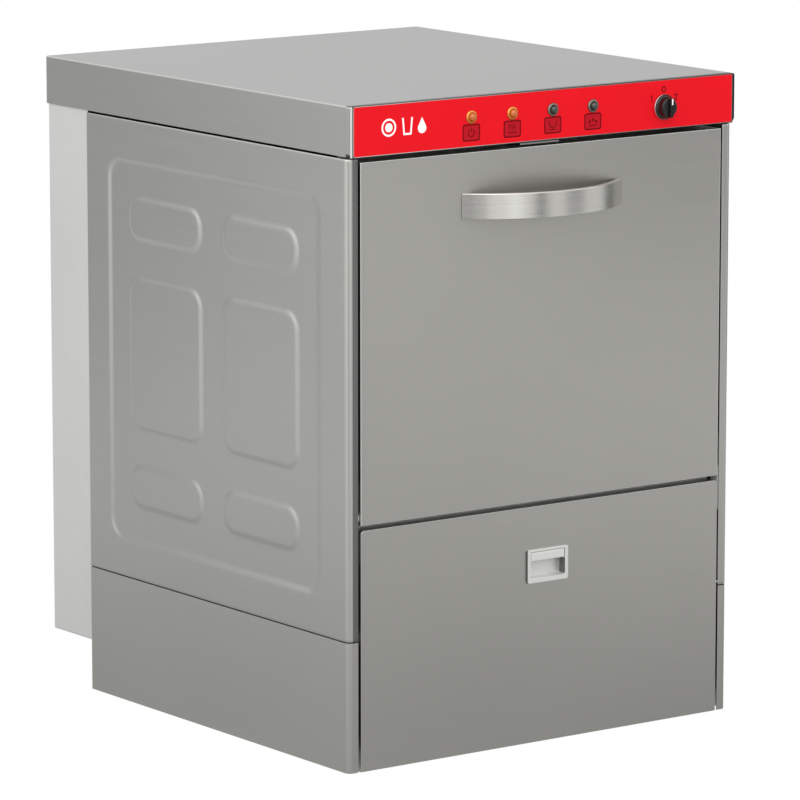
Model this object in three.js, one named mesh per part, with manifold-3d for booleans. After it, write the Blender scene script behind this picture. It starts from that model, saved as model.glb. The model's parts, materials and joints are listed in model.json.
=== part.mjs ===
// Undercounter commercial dishwasher for 500 x 500 mm racks.
// Millimetres. +X is the machine's right seen from the front, +Y points to its back, +Z is up.
// The design is drawn with y = 0 on the front of the control fascia and z = 0 on the floor;
// the last lines slide it so that the origin is the middle of the footprint.
import * as THREE from 'three';
import { mergeVertices } from 'three/addons/utils/BufferGeometryUtils.js';
import Module from 'manifold-3d';

const wasm = await Module();
wasm.setup();

// ------------------------------------------------------------------ driving dimensions
const WIDTH = 600;
const DEPTH = 680;                 // fascia front to the top cover's rear edge
const HEIGHT = 830;                // floor to the top cover
const SHEET = 1.2;                 // outer panels and liner
const TOUCH = 0.3;                 // gap kept between pieces that touch
const PLAY = 0.3;                  // radial play round pins, shafts and necks
const FLOOR_GAP = 3;               // the skirt's lower edge above the floor

const LID = { height: 62, reveal: 3, rearRadius: 8, windowMargin: 10, windowInset: 30 };
const FASCIA = { depth: 9, drop: 2, rim: 5.5, wall: 2, pocket: 1, corner: 3 };
const OVERLAY = { thickness: 0.5, gap: 0.2, setback: 0.2 };
const LAMP = { first: -117, pitch: 63, count: 4, drop: 25.5, lens: 7.5, bezel: 8.3, neck: 6 };
const LAMP_LENGTH = { bezel: 1.4, lens: 4.5, neck: 24 };
const KNOB = { x: 185, drop: 35, radius: 15, skirt: 16.5, skirtHeight: 2.5, height: 13, ridge: 18 };
const KNOB_RIDGE = { width: 6, length: 27 };
const SWITCH = { size: 36, depth: 34, shaft: 3, shaftReach: 12, bush: 5, gap: 3 };
const CONTROL_BOX = { left: -250, right: 140, front: 40, depth: 90, height: 34, lift: 12 };

const BODY_FRONT = 5;              // y of the flanges beside the door
const FLANGE = 15;                 // width of those flanges
const EDGE_RADIUS = 7;             // rounded front vertical edges
const SKIRT_HEIGHT = 164;
const SEAM = 1.5;                  // between the skirt and the side panel
const RETURN = 12;                 // folded edges of the side panels
const EMBOSS = { depth: 1.8, front: 59, rear: 49, foot: 48, head: 50, radius: 27 };
const PAD = { margin: 46, gap: 45, height: 58, radius: 26 };
const REAR_BOX = { depth: 94, inset: 3, floor: 65, tuck: 20 };

const PAN = { lift: 20, thickness: 2, front: 30, lip: 18 };
const FOOT = { inset: 50, front: 60, rear: 43, pad: 20, padHeight: 10, stud: 6, length: 58 };

const DOOR = { front: 4, thickness: 45, sideGap: 3, topGap: 9.7, bottom: 312.4 };
const DOOR_INSULATION = { side: 15, top: 3.5, bottom: 13, skin: 0.4 };
const HINGE = { back: 10, lift: 8.6, pin: 4, boss: 7, bossLength: 2, armWidth: 14, armLength: 51 };
const HINGE_ARM = { thickness: 2.2, hookPin: 2.5, hookReach: 8 };
const BRACKET = { offset: 7, thickness: 3, below: 16, above: 44, footHeight: 25, footInset: 13.5 };
const SPRING = { radius: 4.5, eye: 3, offset: 10, anchorY: 232, anchorZ: 58, tab: 4 };
const HANDLE = { halfSpan: 130, bow: 53, thickness: 7, height: 32.5, below: 49.8 };
const CATCH = { left: -35, right: 25, clearance: 2, thickness: 3, front: 8, depth: 36, pivot: 2.2 };
const CATCH_BRACKET = { ear: 4, plate: 2, reach: 4.5, height: 7, pin: 3.2 };

const SERVICE_TOP = 306;           // top edge of the service panel
const SERVICE = { depth: 15, corner: 4.5 };
const RAIL = { front: 24.5, height: 56, thickness: 2, top: 311 };
const LATCH = { x: 6, z: 230, width: 64, height: 43, proud: 2.5, corner: 3, neck: 3, depth: 22 };
const RECESS = { width: 54, height: 21, lower: 6, depth: 12 };
const LEVER = { height: 12.5, thickness: 3, side: 0.6, hinge: 1.6 };
const BOLT = { width: 20, thickness: 3, length: 38, gap: 2.5 };

const CHAMBER = { side: 38, front: 53, rearGap: 21.8, bottom: 300, headroom: 19 };
const MOUTH = { side: 45, bottom: 340, top: 26 };
const TANK = { side: 100, front: 67, rear: 80, bottom: 215 };
const GASKET = { inner: 5, outer: 17, bottomInner: 1, bottomOuter: 13, topInner: 2, topOuter: 14 };
const RACK_RAIL = { z: 362, ledge: 24, plate: 2, rise: 22, drop: 12, inset: 8 };
const POST = { radius: 18, top: 326, spigot: 7, spigotTop: 361 };
const WASH_ARM = { span: 456, width: 34, hub: 32, height: 17, z: 331 };
const RINSE_ARM = { span: 400, width: 14, hub: 20, height: 8, z: 351 };
const NOZZLE = { count: 4, width: 3, length: 12, depth: 3, hub: 45, tip: 18 };
const UPPER = { duct: 20, head: 13, spigot: 7, washDrop: 34, rinseDrop: 46, spigotDrop: 49 };
const RISER = { half: 20, depth: 19, gap: 1, bottom: 302 };

const FILTER = { lap: 15, thickness: 1.5, play: 2 };
const STRAINER = { x: 60, back: 80, radius: 30, height: 78, wall: 2 };
const OVERFLOW = { x: 120, front: 60, radius: 16, bore: 12, top: 308 };
const HEATER = { x: -135, half: 45, radius: 4.5, z: 245, inset: 40 };

const PUMP = { x: -90, back: 253, z: 100, radius: 65, width: 50, wall: 8, inlet: 20, outlet: 18 };
const MOTOR = { radius: 55, length: 140, gap: 1, boss: 25, ribs: 4 };
const IMPELLER = { radius: 45, disc: 6, vane: 12, vanes: 6, shaft: 6, shaftLength: 30 };
const HOSE = { steps: 12, sides: 10, suction: 19, pressure: 16, pull: 0.45 };
const BOILER = { inset: 110, front: 180, length: 240, radius: 75, z: 122 };
const BOILER_SHELL = { dome: 14, shoulder: 60, flange: 35, wall: 2, elementHole: 22 };
const DOSER = { inset: 66, front: 60, radius: 28, depth: 40, z: 160, bracket: 34, hub: 11, hubRise: 4 };
const AIR_BREAK = { x: -100, width: 100, depth: 62, height: 180, drop: 40 };
const REAR_PORT_Z = 46;
const INLET = { x: 200, radius: 13.2, hex: 17, hexLength: 8, length: 34, inside: 45 };
const DRAIN = { x: 110, radius: 14, collar: 20, length: 40, inside: 30 };
const GLAND = { x: -200, radius: 9, hex: 13, nut: 8, cap: 20, inside: 12 };

// ------------------------------------------------------------------ derived places
const halfWidth = WIDTH / 2;
const lidBottom = HEIGHT - LID.height;
const lidFront = FASCIA.depth + TOUCH;
const skirtTop = FLOOR_GAP + SKIRT_HEIGHT;
const sideBottom = skirtTop + SEAM;
const sideTop = lidBottom - LID.reveal;
const rearBoxBack = DEPTH - REAR_BOX.inset;
const bodyBack = rearBoxBack - REAR_BOX.depth;
const innerWall = halfWidth - SHEET;

const doorHalf = halfWidth - FLANGE - DOOR.sideGap - 0.5;
const doorTop = lidBottom + FASCIA.drop - DOOR.topGap;
const doorBack = DOOR.front + DOOR.thickness;
const hingeY = DOOR.front + HINGE.back;
const hingeZ = DOOR.bottom + HINGE.lift;

const chamberHalf = halfWidth - CHAMBER.side;
const chamberBack = bodyBack - CHAMBER.rearGap;
const chamberTop = lidBottom - CHAMBER.headroom;
const mouthHalf = halfWidth - MOUTH.side;
const mouthTop = lidBottom - MOUTH.top;
const tankHalf = halfWidth - TANK.side;
const tankFront = CHAMBER.front + TANK.front;
const tankBack = chamberBack - TANK.rear;
const armY = (CHAMBER.front + SHEET + chamberBack) / 2;
const lampZ = HEIGHT - LAMP.drop;
const knobZ = HEIGHT - KNOB.drop;

// ------------------------------------------------------------------ materials
const finish = (color, metalness, roughness) =>
  new THREE.MeshStandardMaterial({ color, metalness, roughness });
const brushedSteel = finish(0xa4a49e, 0.9, 0.38);
const galvanisedSteel = finish(0xc9c9c7, 0.7, 0.5);
const polishedSteel = finish(0xc8c8c6, 1, 0.2);
const redOverlay = finish(0xd81f2a, 0, 0.3);
const blackPlastic = finish(0x1a1a1b, 0, 0.45);
const greyPlastic = finish(0xc4c5c1, 0, 0.45);
const whitePlastic = finish(0xe6e6e0, 0, 0.5);
const amberLens = finish(0xd89a2b, 0, 0.15);
const greenLens = finish(0x1f5a3a, 0, 0.15);
const blackRubber = finish(0x202020, 0, 0.8);
const greyFoam = finish(0x8d8d8a, 0, 0.95);
const castIron = finish(0x3d4246, 0.4, 0.6);
const brass = finish(0xb08d4a, 0.9, 0.35);
const zincCasting = finish(0xc6c7c3, 0.3, 0.45);

// ------------------------------------------------------------------ geometry helpers
const MERGE_TOLERANCE = 1e-4;
const ARC_STEPS = 4;               // segments of a quarter round
const ROUND_SIDES = 16;
const EXTRA = 1;                   // how far a cutting tool runs past a face

function toSolid(geometry) {
  const bare = new THREE.BufferGeometry();
  bare.setAttribute('position', geometry.getAttribute('position'));
  if (geometry.index) bare.setIndex(geometry.index);
  const merged = mergeVertices(bare, MERGE_TOLERANCE);
  const corners = merged.index.array;
  const triangles = [];
  for (let i = 0; i < corners.length; i += 3) {
    const [a, b, c] = corners.slice(i, i + 3);
    if (a !== b && b !== c && c !== a) triangles.push(a, b, c);
  }
  return new wasm.Manifold(new wasm.Mesh({
    numProp: 3,
    vertProperties: new Float32Array(merged.getAttribute('position').array),
    triVerts: new Uint32Array(triangles),
  }));
}

function block(x0, x1, y0, y1, z0, z1) {
  const geometry = new THREE.BoxGeometry(x1 - x0, y1 - y0, z1 - z0);
  return toSolid(geometry.translate((x0 + x1) / 2, (y0 + y1) / 2, (z0 + z1) / 2));
}

function extruded(shape, depth) {
  return new THREE.ExtrudeGeometry(shape, { depth, bevelEnabled: false, curveSegments: ARC_STEPS / 2 });
}

// A shape drawn in (x, y), (x, z) or (y, z), pushed through the third axis.
const prismZ = (shape, z0, z1) => toSolid(extruded(shape, z1 - z0).translate(0, 0, z0));
const prismY = (shape, y0, y1) =>
  toSolid(extruded(shape, y1 - y0).rotateX(Math.PI / 2).translate(0, y1, 0));
const yzToSpace = new THREE.Matrix4().set(0, 0, 1, 0, 1, 0, 0, 0, 0, 1, 0, 0, 0, 0, 0, 1);
const prismX = (shape, x0, x1) =>
  toSolid(extruded(shape, x1 - x0).applyMatrix4(yzToSpace).translate(x0, 0, 0));

function roundedRect(x0, y0, x1, y1, radius = 0) {
  const shape = new THREE.Shape();
  if (radius <= 0) {
    return shape.setFromPoints([[x0, y0], [x1, y0], [x1, y1], [x0, y1]]
      .map(([x, y]) => new THREE.Vector2(x, y)));
  }
  const r = Math.min(radius, (x1 - x0) / 2, (y1 - y0) / 2);
  shape.moveTo(x0 + r, y0);
  shape.absarc(x1 - r, y0 + r, r, -Math.PI / 2, 0);
  shape.absarc(x1 - r, y1 - r, r, 0, Math.PI / 2);
  shape.absarc(x0 + r, y1 - r, r, Math.PI / 2, Math.PI);
  shape.absarc(x0 + r, y0 + r, r, Math.PI, 1.5 * Math.PI);
  return shape;
}

function polygon(points) {
  return new THREE.Shape().setFromPoints(points.map(([x, y]) => new THREE.Vector2(x, y)));
}

function arcPoints(cx, cy, radius, from, to) {
  const points = [];
  for (let i = 0; i <= ARC_STEPS; i += 1) {
    const angle = from + ((to - from) * i) / ARC_STEPS;
    points.push([cx + radius * Math.cos(angle), cy + radius * Math.sin(angle)]);
  }
  return points;
}

// A body of revolution about Z from (radius, height) points that start and end on the axis.
function turned(profile, sides = ROUND_SIDES) {
  const points = profile.map(([r, z]) => new THREE.Vector2(r, z));
  return toSolid(new THREE.LatheGeometry(points, sides).rotateX(Math.PI / 2));
}

const cylinder = (radius, z0, z1, sides = ROUND_SIDES) =>
  turned([[0, z0], [radius, z0], [radius, z1], [0, z1]], sides);

function rodGeometry(radius, from, to, sides) {
  return new THREE.CylinderGeometry(radius, radius, to - from, sides).translate(0, (from + to) / 2, 0);
}
const rodX = (radius, x0, x1, y, z, sides = ROUND_SIDES) =>
  toSolid(rodGeometry(radius, x0, x1, sides).rotateZ(-Math.PI / 2).translate(0, y, z));
const rodY = (radius, y0, y1, x, z, sides = ROUND_SIDES) =>
  toSolid(rodGeometry(radius, y0, y1, sides).translate(x, 0, z));
const rodZ = (radius, z0, z1, x, y, sides = ROUND_SIDES) =>
  toSolid(rodGeometry(radius, z0, z1, sides).rotateX(Math.PI / 2).translate(x, y, 0));

// A round bar along a curve.
function along(path, radius, steps = HOSE.steps, sides = HOSE.sides) {
  const section = polygon(Array.from({ length: sides }, (_, i) => {
    const angle = (2 * Math.PI * i) / sides;
    return [radius * Math.cos(angle), radius * Math.sin(angle)];
  }));
  return toSolid(new THREE.ExtrudeGeometry(section, { steps, extrudePath: path }));
}

const join = (first, ...others) => others.reduce((whole, part) => whole.add(part), first);
const cut = (first, ...others) => others.reduce((whole, part) => whole.subtract(part), first);

// ------------------------------------------------------------------ scene helpers
const design = new THREE.Group();

function place(name, solid, material, position = [0, 0, 0], rotation = [0, 0, 0]) {
  const data = solid.getMesh();
  const geometry = new THREE.BufferGeometry();
  geometry.setAttribute('position', new THREE.BufferAttribute(data.vertProperties, data.numProp));
  geometry.setIndex(new THREE.BufferAttribute(data.triVerts, 1));
  const mesh = new THREE.Mesh(geometry, material);
  mesh.name = name;
  mesh.position.set(...position);
  mesh.rotation.set(...rotation);
  design.add(mesh);
  return mesh;
}
const FACING_FRONT = [Math.PI / 2, 0, 0];   // local +Z turned to face -Y
const FACING_REAR = [-Math.PI / 2, 0, 0];   // local +Z turned to face +Y
const ALONG_X = [0, Math.PI / 2, 0];        // local +Z turned to +X
const sides = [['left', -1], ['right', 1]];

// A span between two signed distances from the middle plane, in rising order.
const span = (side, near, far) => (side < 0 ? [-far, -near] : [near, far]);

// ------------------------------------------------------------------ outer panels
// Plan section of a side wall: outer face, rounded front edge and return flange.
function wallSection(side) {
  const y = BODY_FRONT;
  const r = EDGE_RADIUS;
  const outer = [[halfWidth, bodyBack],
    ...arcPoints(halfWidth - r, y + r, r, 0, -Math.PI / 2), [halfWidth - FLANGE, y]];
  const inner = [[halfWidth - FLANGE, y + SHEET],
    ...arcPoints(halfWidth - r, y + r, r - SHEET, -Math.PI / 2, 0), [innerWall, bodyBack]];
  return polygon([...outer, ...inner].map(([px, py]) => [side * px, py]));
}

function embossedField(side) {
  const y0 = BODY_FRONT + EMBOSS.front;
  const y1 = bodyBack - EMBOSS.rear;
  const z0 = sideBottom + EMBOSS.foot;
  const z1 = sideTop - EMBOSS.head;
  const grown = (by) => roundedRect(y0 - by, z0 - by, y1 + by, z1 + by, EMBOSS.radius + by);
  const padWidth = (y1 - y0 - 2 * PAD.margin - PAD.gap) / 2;
  const middle = z1 - z0 - 2 * PAD.margin - 2 * PAD.gap - 2 * PAD.height;
  const columns = [y0 + PAD.margin, y1 - PAD.margin - padWidth];
  const rows = [
    [z0 + PAD.margin, PAD.height],
    [z0 + PAD.margin + PAD.height + PAD.gap, middle],
    [z1 - PAD.margin - PAD.height, PAD.height],
  ];
  const face = halfWidth;
  const [deepA, deepB] = span(side, face - EMBOSS.depth - SHEET, face);
  const [frontA, frontB] = span(side, face - EMBOSS.depth, face + EXTRA);
  const [backA, backB] = span(side, face - EMBOSS.depth - SHEET - EXTRA, face - SHEET);
  let field = prismX(grown(SHEET), deepA, deepB);
  let hollow = prismX(grown(0), frontA, frontB);
  for (const y of columns) {
    for (const [z, height] of rows) {
      const pad = (by) => roundedRect(y - by, z - by, y + padWidth + by, z + height + by, PAD.radius + by);
      hollow = cut(hollow, prismX(pad(0), frontA - EXTRA, frontB + EXTRA));
      field = cut(field, prismX(pad(-SHEET), backA, backB));
    }
  }
  const [holeA, holeB] = span(side, innerWall - EXTRA, face + EXTRA);
  return { field: cut(field, hollow), opening: prismX(grown(SHEET / 2), holeA, holeB) };
}

function sidePanel(side) {
  const { field, opening } = embossedField(side);
  const [edgeA, edgeB] = span(side, innerWall - RETURN, innerWall + SHEET / 2);
  const back = block(edgeA, edgeB, bodyBack - SHEET, bodyBack, sideBottom, sideTop);
  const head = block(edgeA, edgeB, BODY_FRONT + EDGE_RADIUS, bodyBack, sideTop - SHEET, sideTop);
  const sheet = prismZ(wallSection(side), sideBottom, sideTop);
  return join(cut(join(sheet, back, head), opening), field);
}

for (const [name, side] of sides) {
  place(`side_panel_${name}`, sidePanel(side), brushedSteel);
}

function topCover() {
  const section = new THREE.Shape();
  const r = LID.rearRadius;
  section.moveTo(lidFront, lidBottom);
  section.lineTo(DEPTH - r, lidBottom);
  section.absarc(DEPTH - r, lidBottom + r, r, -Math.PI / 2, 0);
  section.lineTo(DEPTH, HEIGHT);
  section.lineTo(lidFront, HEIGHT);
  const shell = prismX(section, -halfWidth, halfWidth);
  const hollow = block(-innerWall, innerWall, lidFront + SHEET, DEPTH - SHEET, lidBottom - EXTRA,
    HEIGHT - SHEET);
  const window = block(-halfWidth + LID.windowInset, halfWidth - LID.windowInset, lidFront - EXTRA,
    lidFront + SHEET + EXTRA, lidBottom + LID.windowMargin, HEIGHT - LID.windowMargin);
  return cut(shell, hollow, window);
}
place('top_cover', topCover(), brushedSteel);

function rearCover() {
  const half = innerWall - TOUCH;
  const z0 = FLOOR_GAP + REAR_BOX.floor;
  const z1 = lidBottom + REAR_BOX.tuck;
  const front = bodyBack + TOUCH;
  const shell = block(-half, half, front, rearBoxBack, z0, z1);
  return cut(shell, block(-half + SHEET, half - SHEET, front - EXTRA, rearBoxBack - SHEET,
    z0 + SHEET, z1 + EXTRA));
}
place('rear_cover', rearCover(), galvanisedSteel);

// ------------------------------------------------------------------ base
const footPlaces = [
  ['front_left', -halfWidth + FOOT.inset, FOOT.front], ['front_right', halfWidth - FOOT.inset, FOOT.front],
  ['rear_left', -halfWidth + FOOT.inset, bodyBack - FOOT.rear],
  ['rear_right', halfWidth - FOOT.inset, bodyBack - FOOT.rear],
];
const panZ = FLOOR_GAP + PAN.lift;
const springX = doorHalf + SPRING.offset;

function baseFrame() {
  const walls = sides.map(([, side]) => prismZ(wallSection(side), FLOOR_GAP, skirtTop));
  const anchors = sides.map(([, side]) => {
    const [x0, x1] = span(side, springX - SPRING.radius, innerWall + SHEET / 2);
    const y0 = SPRING.anchorY + SPRING.eye + TOUCH;
    const reach = 2 * SPRING.eye;
    return block(x0, x1, y0, y0 + SPRING.tab, SPRING.anchorZ - reach, SPRING.anchorZ + reach);
  });
  const bridge = innerWall + SHEET / 2;
  const rear = block(-bridge, bridge, bodyBack - SHEET, bodyBack, FLOOR_GAP, skirtTop);
  const pan = block(-bridge, bridge, PAN.front, bodyBack - SHEET / 2, panZ, panZ + PAN.thickness);
  const lip = block(-bridge, bridge, PAN.front, PAN.front + PAN.thickness, panZ, panZ + PAN.lip);
  const studs = footPlaces.map(([, x, y]) => rodZ(FOOT.stud + PLAY, panZ - EXTRA, panZ + PAN.lift, x, y));
  const ports = [[INLET.x, INLET.radius], [DRAIN.x, DRAIN.radius], [GLAND.x, GLAND.radius]].map(([x, r]) =>
    rodY(r + PLAY, bodyBack - SHEET - EXTRA, bodyBack + EXTRA, x, REAR_PORT_Z));
  return cut(join(rear, ...walls, pan, lip, ...anchors), ...studs, ...ports);
}
place('base_frame', baseFrame(), brushedSteel);

const foot = () => turned([[0, 0], [FOOT.pad, 0], [FOOT.pad, FOOT.padHeight / 2],
  [FOOT.pad * 0.8, FOOT.padHeight], [FOOT.stud, FOOT.padHeight], [FOOT.stud, FOOT.length], [0, FOOT.length]]);
for (const [name, x, y] of footPlaces) {
  place(`foot_${name}`, foot(), blackPlastic, [x, y, 0]);
}

// ------------------------------------------------------------------ control fascia
const fasciaBottom = lidBottom + FASCIA.drop;
const lamps = Array.from({ length: LAMP.count }, (_, i) => LAMP.first + i * LAMP.pitch);

function fasciaHoles(y0, y1) {
  return [...lamps.map((x) => rodY(LAMP.neck + PLAY, y0, y1, x, lampZ)),
    rodY(SWITCH.bush + PLAY, y0, y1, KNOB.x, knobZ)];
}

function controlFascia() {
  const r = FASCIA.corner;
  const shell = prismY(roundedRect(-halfWidth, fasciaBottom, halfWidth, HEIGHT, r), 0, FASCIA.depth);
  const pocket = prismY(roundedRect(-halfWidth + FASCIA.rim, fasciaBottom + FASCIA.rim / 2,
    halfWidth - FASCIA.rim, HEIGHT - FASCIA.rim / 2, r), -EXTRA, FASCIA.pocket);
  const hollow = block(-halfWidth + FASCIA.wall, halfWidth - FASCIA.wall, FASCIA.pocket + FASCIA.wall,
    FASCIA.depth + EXTRA, fasciaBottom + FASCIA.wall, HEIGHT - FASCIA.wall);
  return cut(shell, pocket, hollow, ...fasciaHoles(-EXTRA, FASCIA.depth));
}
place('control_fascia', controlFascia(), blackPlastic);

function controlOverlay() {
  const side = FASCIA.rim + OVERLAY.gap;
  const edge = FASCIA.rim / 2 + OVERLAY.gap;
  const sheet = prismY(roundedRect(-halfWidth + side, fasciaBottom + edge, halfWidth - side, HEIGHT - edge,
    FASCIA.corner), OVERLAY.setback, OVERLAY.setback + OVERLAY.thickness);
  return cut(sheet, ...fasciaHoles(-EXTRA, FASCIA.depth));
}
place('control_overlay', controlOverlay(), redOverlay);

function lamp() {
  const lens = LAMP_LENGTH.bezel + LAMP_LENGTH.lens;
  return turned([[0, -LAMP_LENGTH.neck], [LAMP.neck, -LAMP_LENGTH.neck], [LAMP.neck, TOUCH],
    [LAMP.bezel, TOUCH], [LAMP.bezel, LAMP_LENGTH.bezel], [LAMP.lens, LAMP_LENGTH.bezel],
    [LAMP.lens * 0.8, lens * 0.75], [LAMP.lens * 0.4, lens * 0.95], [0, lens]], ROUND_SIDES);
}
lamps.forEach((x, i) => {
  place(`lamp_${i + 1}`, lamp(), i < 2 ? amberLens : greenLens, [x, 0, lampZ], FACING_FRONT);
});

function rotarySwitch() {
  const half = SWITCH.size / 2;
  const back = -FASCIA.depth - SWITCH.gap;
  return join(block(-half, half, -half, half, back - SWITCH.depth, back),
    cylinder(SWITCH.bush, back - EXTRA, -FASCIA.pocket),
    cylinder(SWITCH.shaft, back - EXTRA, SWITCH.shaftReach));
}
place('rotary_switch', rotarySwitch(), blackPlastic, [KNOB.x, 0, knobZ], FACING_FRONT);

function controlKnob() {
  const rise = TOUCH + KNOB.skirtHeight;
  const body = turned([[0, TOUCH], [KNOB.skirt, TOUCH], [KNOB.skirt, rise], [KNOB.radius, rise + EXTRA],
    [KNOB.radius * 0.92, KNOB.height], [0, KNOB.height]], 24);
  const ridge = block(-KNOB_RIDGE.width / 2, KNOB_RIDGE.width / 2, -KNOB_RIDGE.length / 2,
    KNOB_RIDGE.length / 2, rise, KNOB.ridge);
  return cut(join(body, ridge), cylinder(SWITCH.shaft + PLAY, 0, SWITCH.shaftReach + PLAY));
}
place('control_knob', controlKnob(), blackPlastic, [KNOB.x, 0, knobZ], FACING_FRONT);

const boxZ = lidBottom + CONTROL_BOX.lift;
place('control_box', cut(
  block(CONTROL_BOX.left, CONTROL_BOX.right, CONTROL_BOX.front, CONTROL_BOX.front + CONTROL_BOX.depth,
    boxZ, boxZ + CONTROL_BOX.height),
  block(CONTROL_BOX.left - EXTRA, CONTROL_BOX.right + EXTRA, CONTROL_BOX.front - EXTRA,
    CONTROL_BOX.front + 2 * SHEET, boxZ + CONTROL_BOX.height / 2, boxZ + CONTROL_BOX.height + EXTRA),
), greyPlastic);

// ------------------------------------------------------------------ wash chamber and tank
function washTank() {
  const y0 = CHAMBER.front;
  const liner = block(-chamberHalf - SHEET, chamberHalf + SHEET, y0, chamberBack + SHEET,
    CHAMBER.bottom - SHEET, chamberTop + SHEET);
  const sump = block(-tankHalf - SHEET, tankHalf + SHEET, tankFront - SHEET, tankBack + SHEET,
    TANK.bottom - SHEET, CHAMBER.bottom);
  const flange = block(-doorHalf, doorHalf, y0, y0 + SHEET, CHAMBER.bottom - SHEET, lidBottom - LID.reveal);
  const room = block(-chamberHalf, chamberHalf, y0 + SHEET, chamberBack, CHAMBER.bottom, chamberTop);
  const well = block(-tankHalf, tankHalf, tankFront, tankBack, TANK.bottom, CHAMBER.bottom + EXTRA);
  const mouth = block(-mouthHalf, mouthHalf, y0 - EXTRA, y0 + SHEET + EXTRA, MOUTH.bottom, mouthTop);
  return cut(join(liner, sump, flange), room, well, mouth);
}
place('wash_tank', washTank(), polishedSteel);

function doorGasket() {
  const ring = (side, bottom, top) => roundedRect(-mouthHalf - side, MOUTH.bottom - bottom,
    mouthHalf + side, mouthTop + top, FASCIA.corner);
  const outer = prismY(ring(GASKET.outer, GASKET.bottomOuter, GASKET.topOuter), doorBack + TOUCH,
    CHAMBER.front - TOUCH);
  const inner = prismY(ring(GASKET.inner, GASKET.bottomInner, GASKET.topInner), doorBack - EXTRA,
    CHAMBER.front + EXTRA);
  return cut(outer, inner);
}
place('door_gasket', doorGasket(), blackRubber);

const railTop = RAIL.top;
place('front_rail', join(
  block(-doorHalf, doorHalf, RAIL.front, RAIL.front + RAIL.thickness, railTop - RAIL.height, railTop),
  block(-doorHalf, doorHalf, RAIL.front, CHAMBER.front - TOUCH, railTop - RAIL.thickness, railTop),
), galvanisedSteel);

for (const [name, side] of sides) {
  const wall = chamberHalf - TOUCH;
  const y0 = CHAMBER.front + SHEET + RACK_RAIL.inset;
  const y1 = chamberBack - RACK_RAIL.inset;
  const [plateA, plateB] = span(side, wall - RACK_RAIL.plate, wall);
  const [ledgeA, ledgeB] = span(side, wall - RACK_RAIL.ledge, wall);
  place(`rack_rail_${name}`, join(
    block(plateA, plateB, y0, y1, RACK_RAIL.z - RACK_RAIL.drop, RACK_RAIL.z + RACK_RAIL.rise),
    block(ledgeA, ledgeB, y0, y1, RACK_RAIL.z - RACK_RAIL.plate, RACK_RAIL.z),
  ), polishedSteel);
}

// Lower post: a pipe stub from the tank floor with the spigot both lower arms turn on.
place('lower_arm_post', turned([[0, TANK.bottom + TOUCH], [POST.radius, TANK.bottom + TOUCH],
  [POST.radius, POST.top], [POST.spigot, POST.top], [POST.spigot, POST.spigotTop], [0, POST.spigotTop]]),
polishedSteel, [0, armY, 0]);

function washRiser() {
  const back = chamberBack - RISER.gap;
  const top = chamberTop - RISER.gap;
  const duct = block(-RISER.half, RISER.half, back - RISER.depth, back, RISER.bottom, top);
  const arm = block(-RISER.half, RISER.half, armY, back, top - UPPER.duct, top);
  const head = rodZ(RISER.half + UPPER.spigot, top - UPPER.duct - UPPER.head, top, 0, armY, 20);
  const spigot = rodZ(UPPER.spigot, top - UPPER.duct - UPPER.spigotDrop, top - UPPER.duct, 0, armY);
  return join(duct, arm, head, spigot);
}
place('wash_riser', washRiser(), polishedSteel);
const upperBase = chamberTop - RISER.gap - UPPER.duct;

// Spray arm centred on its hub, nozzle slots on the face it sprays from.
function sprayArm(size, facing) {
  const half = size.span / 2;
  const side = size.width / 2;
  const bar = prismZ(roundedRect(-half, -side, half, side, side), 0, size.height);
  const hub = cylinder(size.hub, 0, size.height, 20);
  const bore = cylinder(POST.spigot + PLAY, -EXTRA, size.height + EXTRA);
  const slots = [];
  const reach = (half - NOZZLE.hub - NOZZLE.tip) / (NOZZLE.count - 1);
  const [z0, z1] = facing > 0 ? [size.height - NOZZLE.depth, size.height + EXTRA] : [-EXTRA, NOZZLE.depth];
  const breadth = Math.min(NOZZLE.length, size.width * 0.5) / 2;
  for (const way of [-1, 1]) {
    for (let i = 0; i < NOZZLE.count; i += 1) {
      const x = way * (NOZZLE.hub + i * reach);
      slots.push(block(x - NOZZLE.width / 2, x + NOZZLE.width / 2, -breadth, breadth, z0, z1));
    }
  }
  return cut(join(bar, hub), bore, ...slots);
}
const ARM_TURN = { lowerWash: 0.5, lowerRinse: -0.7, upperWash: -0.35, upperRinse: 0.9 };
place('lower_wash_arm', sprayArm(WASH_ARM, 1), polishedSteel, [0, armY, WASH_ARM.z],
  [0, 0, ARM_TURN.lowerWash]);
place('lower_rinse_arm', sprayArm(RINSE_ARM, 1), polishedSteel, [0, armY, RINSE_ARM.z],
  [0, 0, ARM_TURN.lowerRinse]);
place('upper_wash_arm', sprayArm(WASH_ARM, -1), polishedSteel, [0, armY, upperBase - UPPER.washDrop],
  [0, 0, ARM_TURN.upperWash]);
place('upper_rinse_arm', sprayArm(RINSE_ARM, -1), polishedSteel, [0, armY, upperBase - UPPER.rinseDrop],
  [0, 0, ARM_TURN.upperRinse]);

const strainerY = tankBack - STRAINER.back;
const overflowY = tankFront + OVERFLOW.front;
place('surface_filter', cut(
  block(-tankHalf - FILTER.lap, tankHalf + FILTER.lap, tankFront - FILTER.lap, tankBack + FILTER.lap,
    CHAMBER.bottom + TOUCH, CHAMBER.bottom + TOUCH + FILTER.thickness),
  rodZ(POST.radius + FILTER.play, CHAMBER.bottom - EXTRA, CHAMBER.bottom + FILTER.lap, 0, armY),
  rodZ(OVERFLOW.radius + FILTER.play, CHAMBER.bottom - EXTRA, CHAMBER.bottom + FILTER.lap,
    OVERFLOW.x, overflowY),
), polishedSteel);

place('suction_strainer', turned([[0, 0], [STRAINER.radius, 0], [STRAINER.radius, STRAINER.height],
  [STRAINER.radius - STRAINER.wall, STRAINER.height], [STRAINER.radius - STRAINER.wall, STRAINER.wall],
  [0, STRAINER.wall]]), polishedSteel, [STRAINER.x, strainerY, TANK.bottom + TOUCH]);

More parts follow.
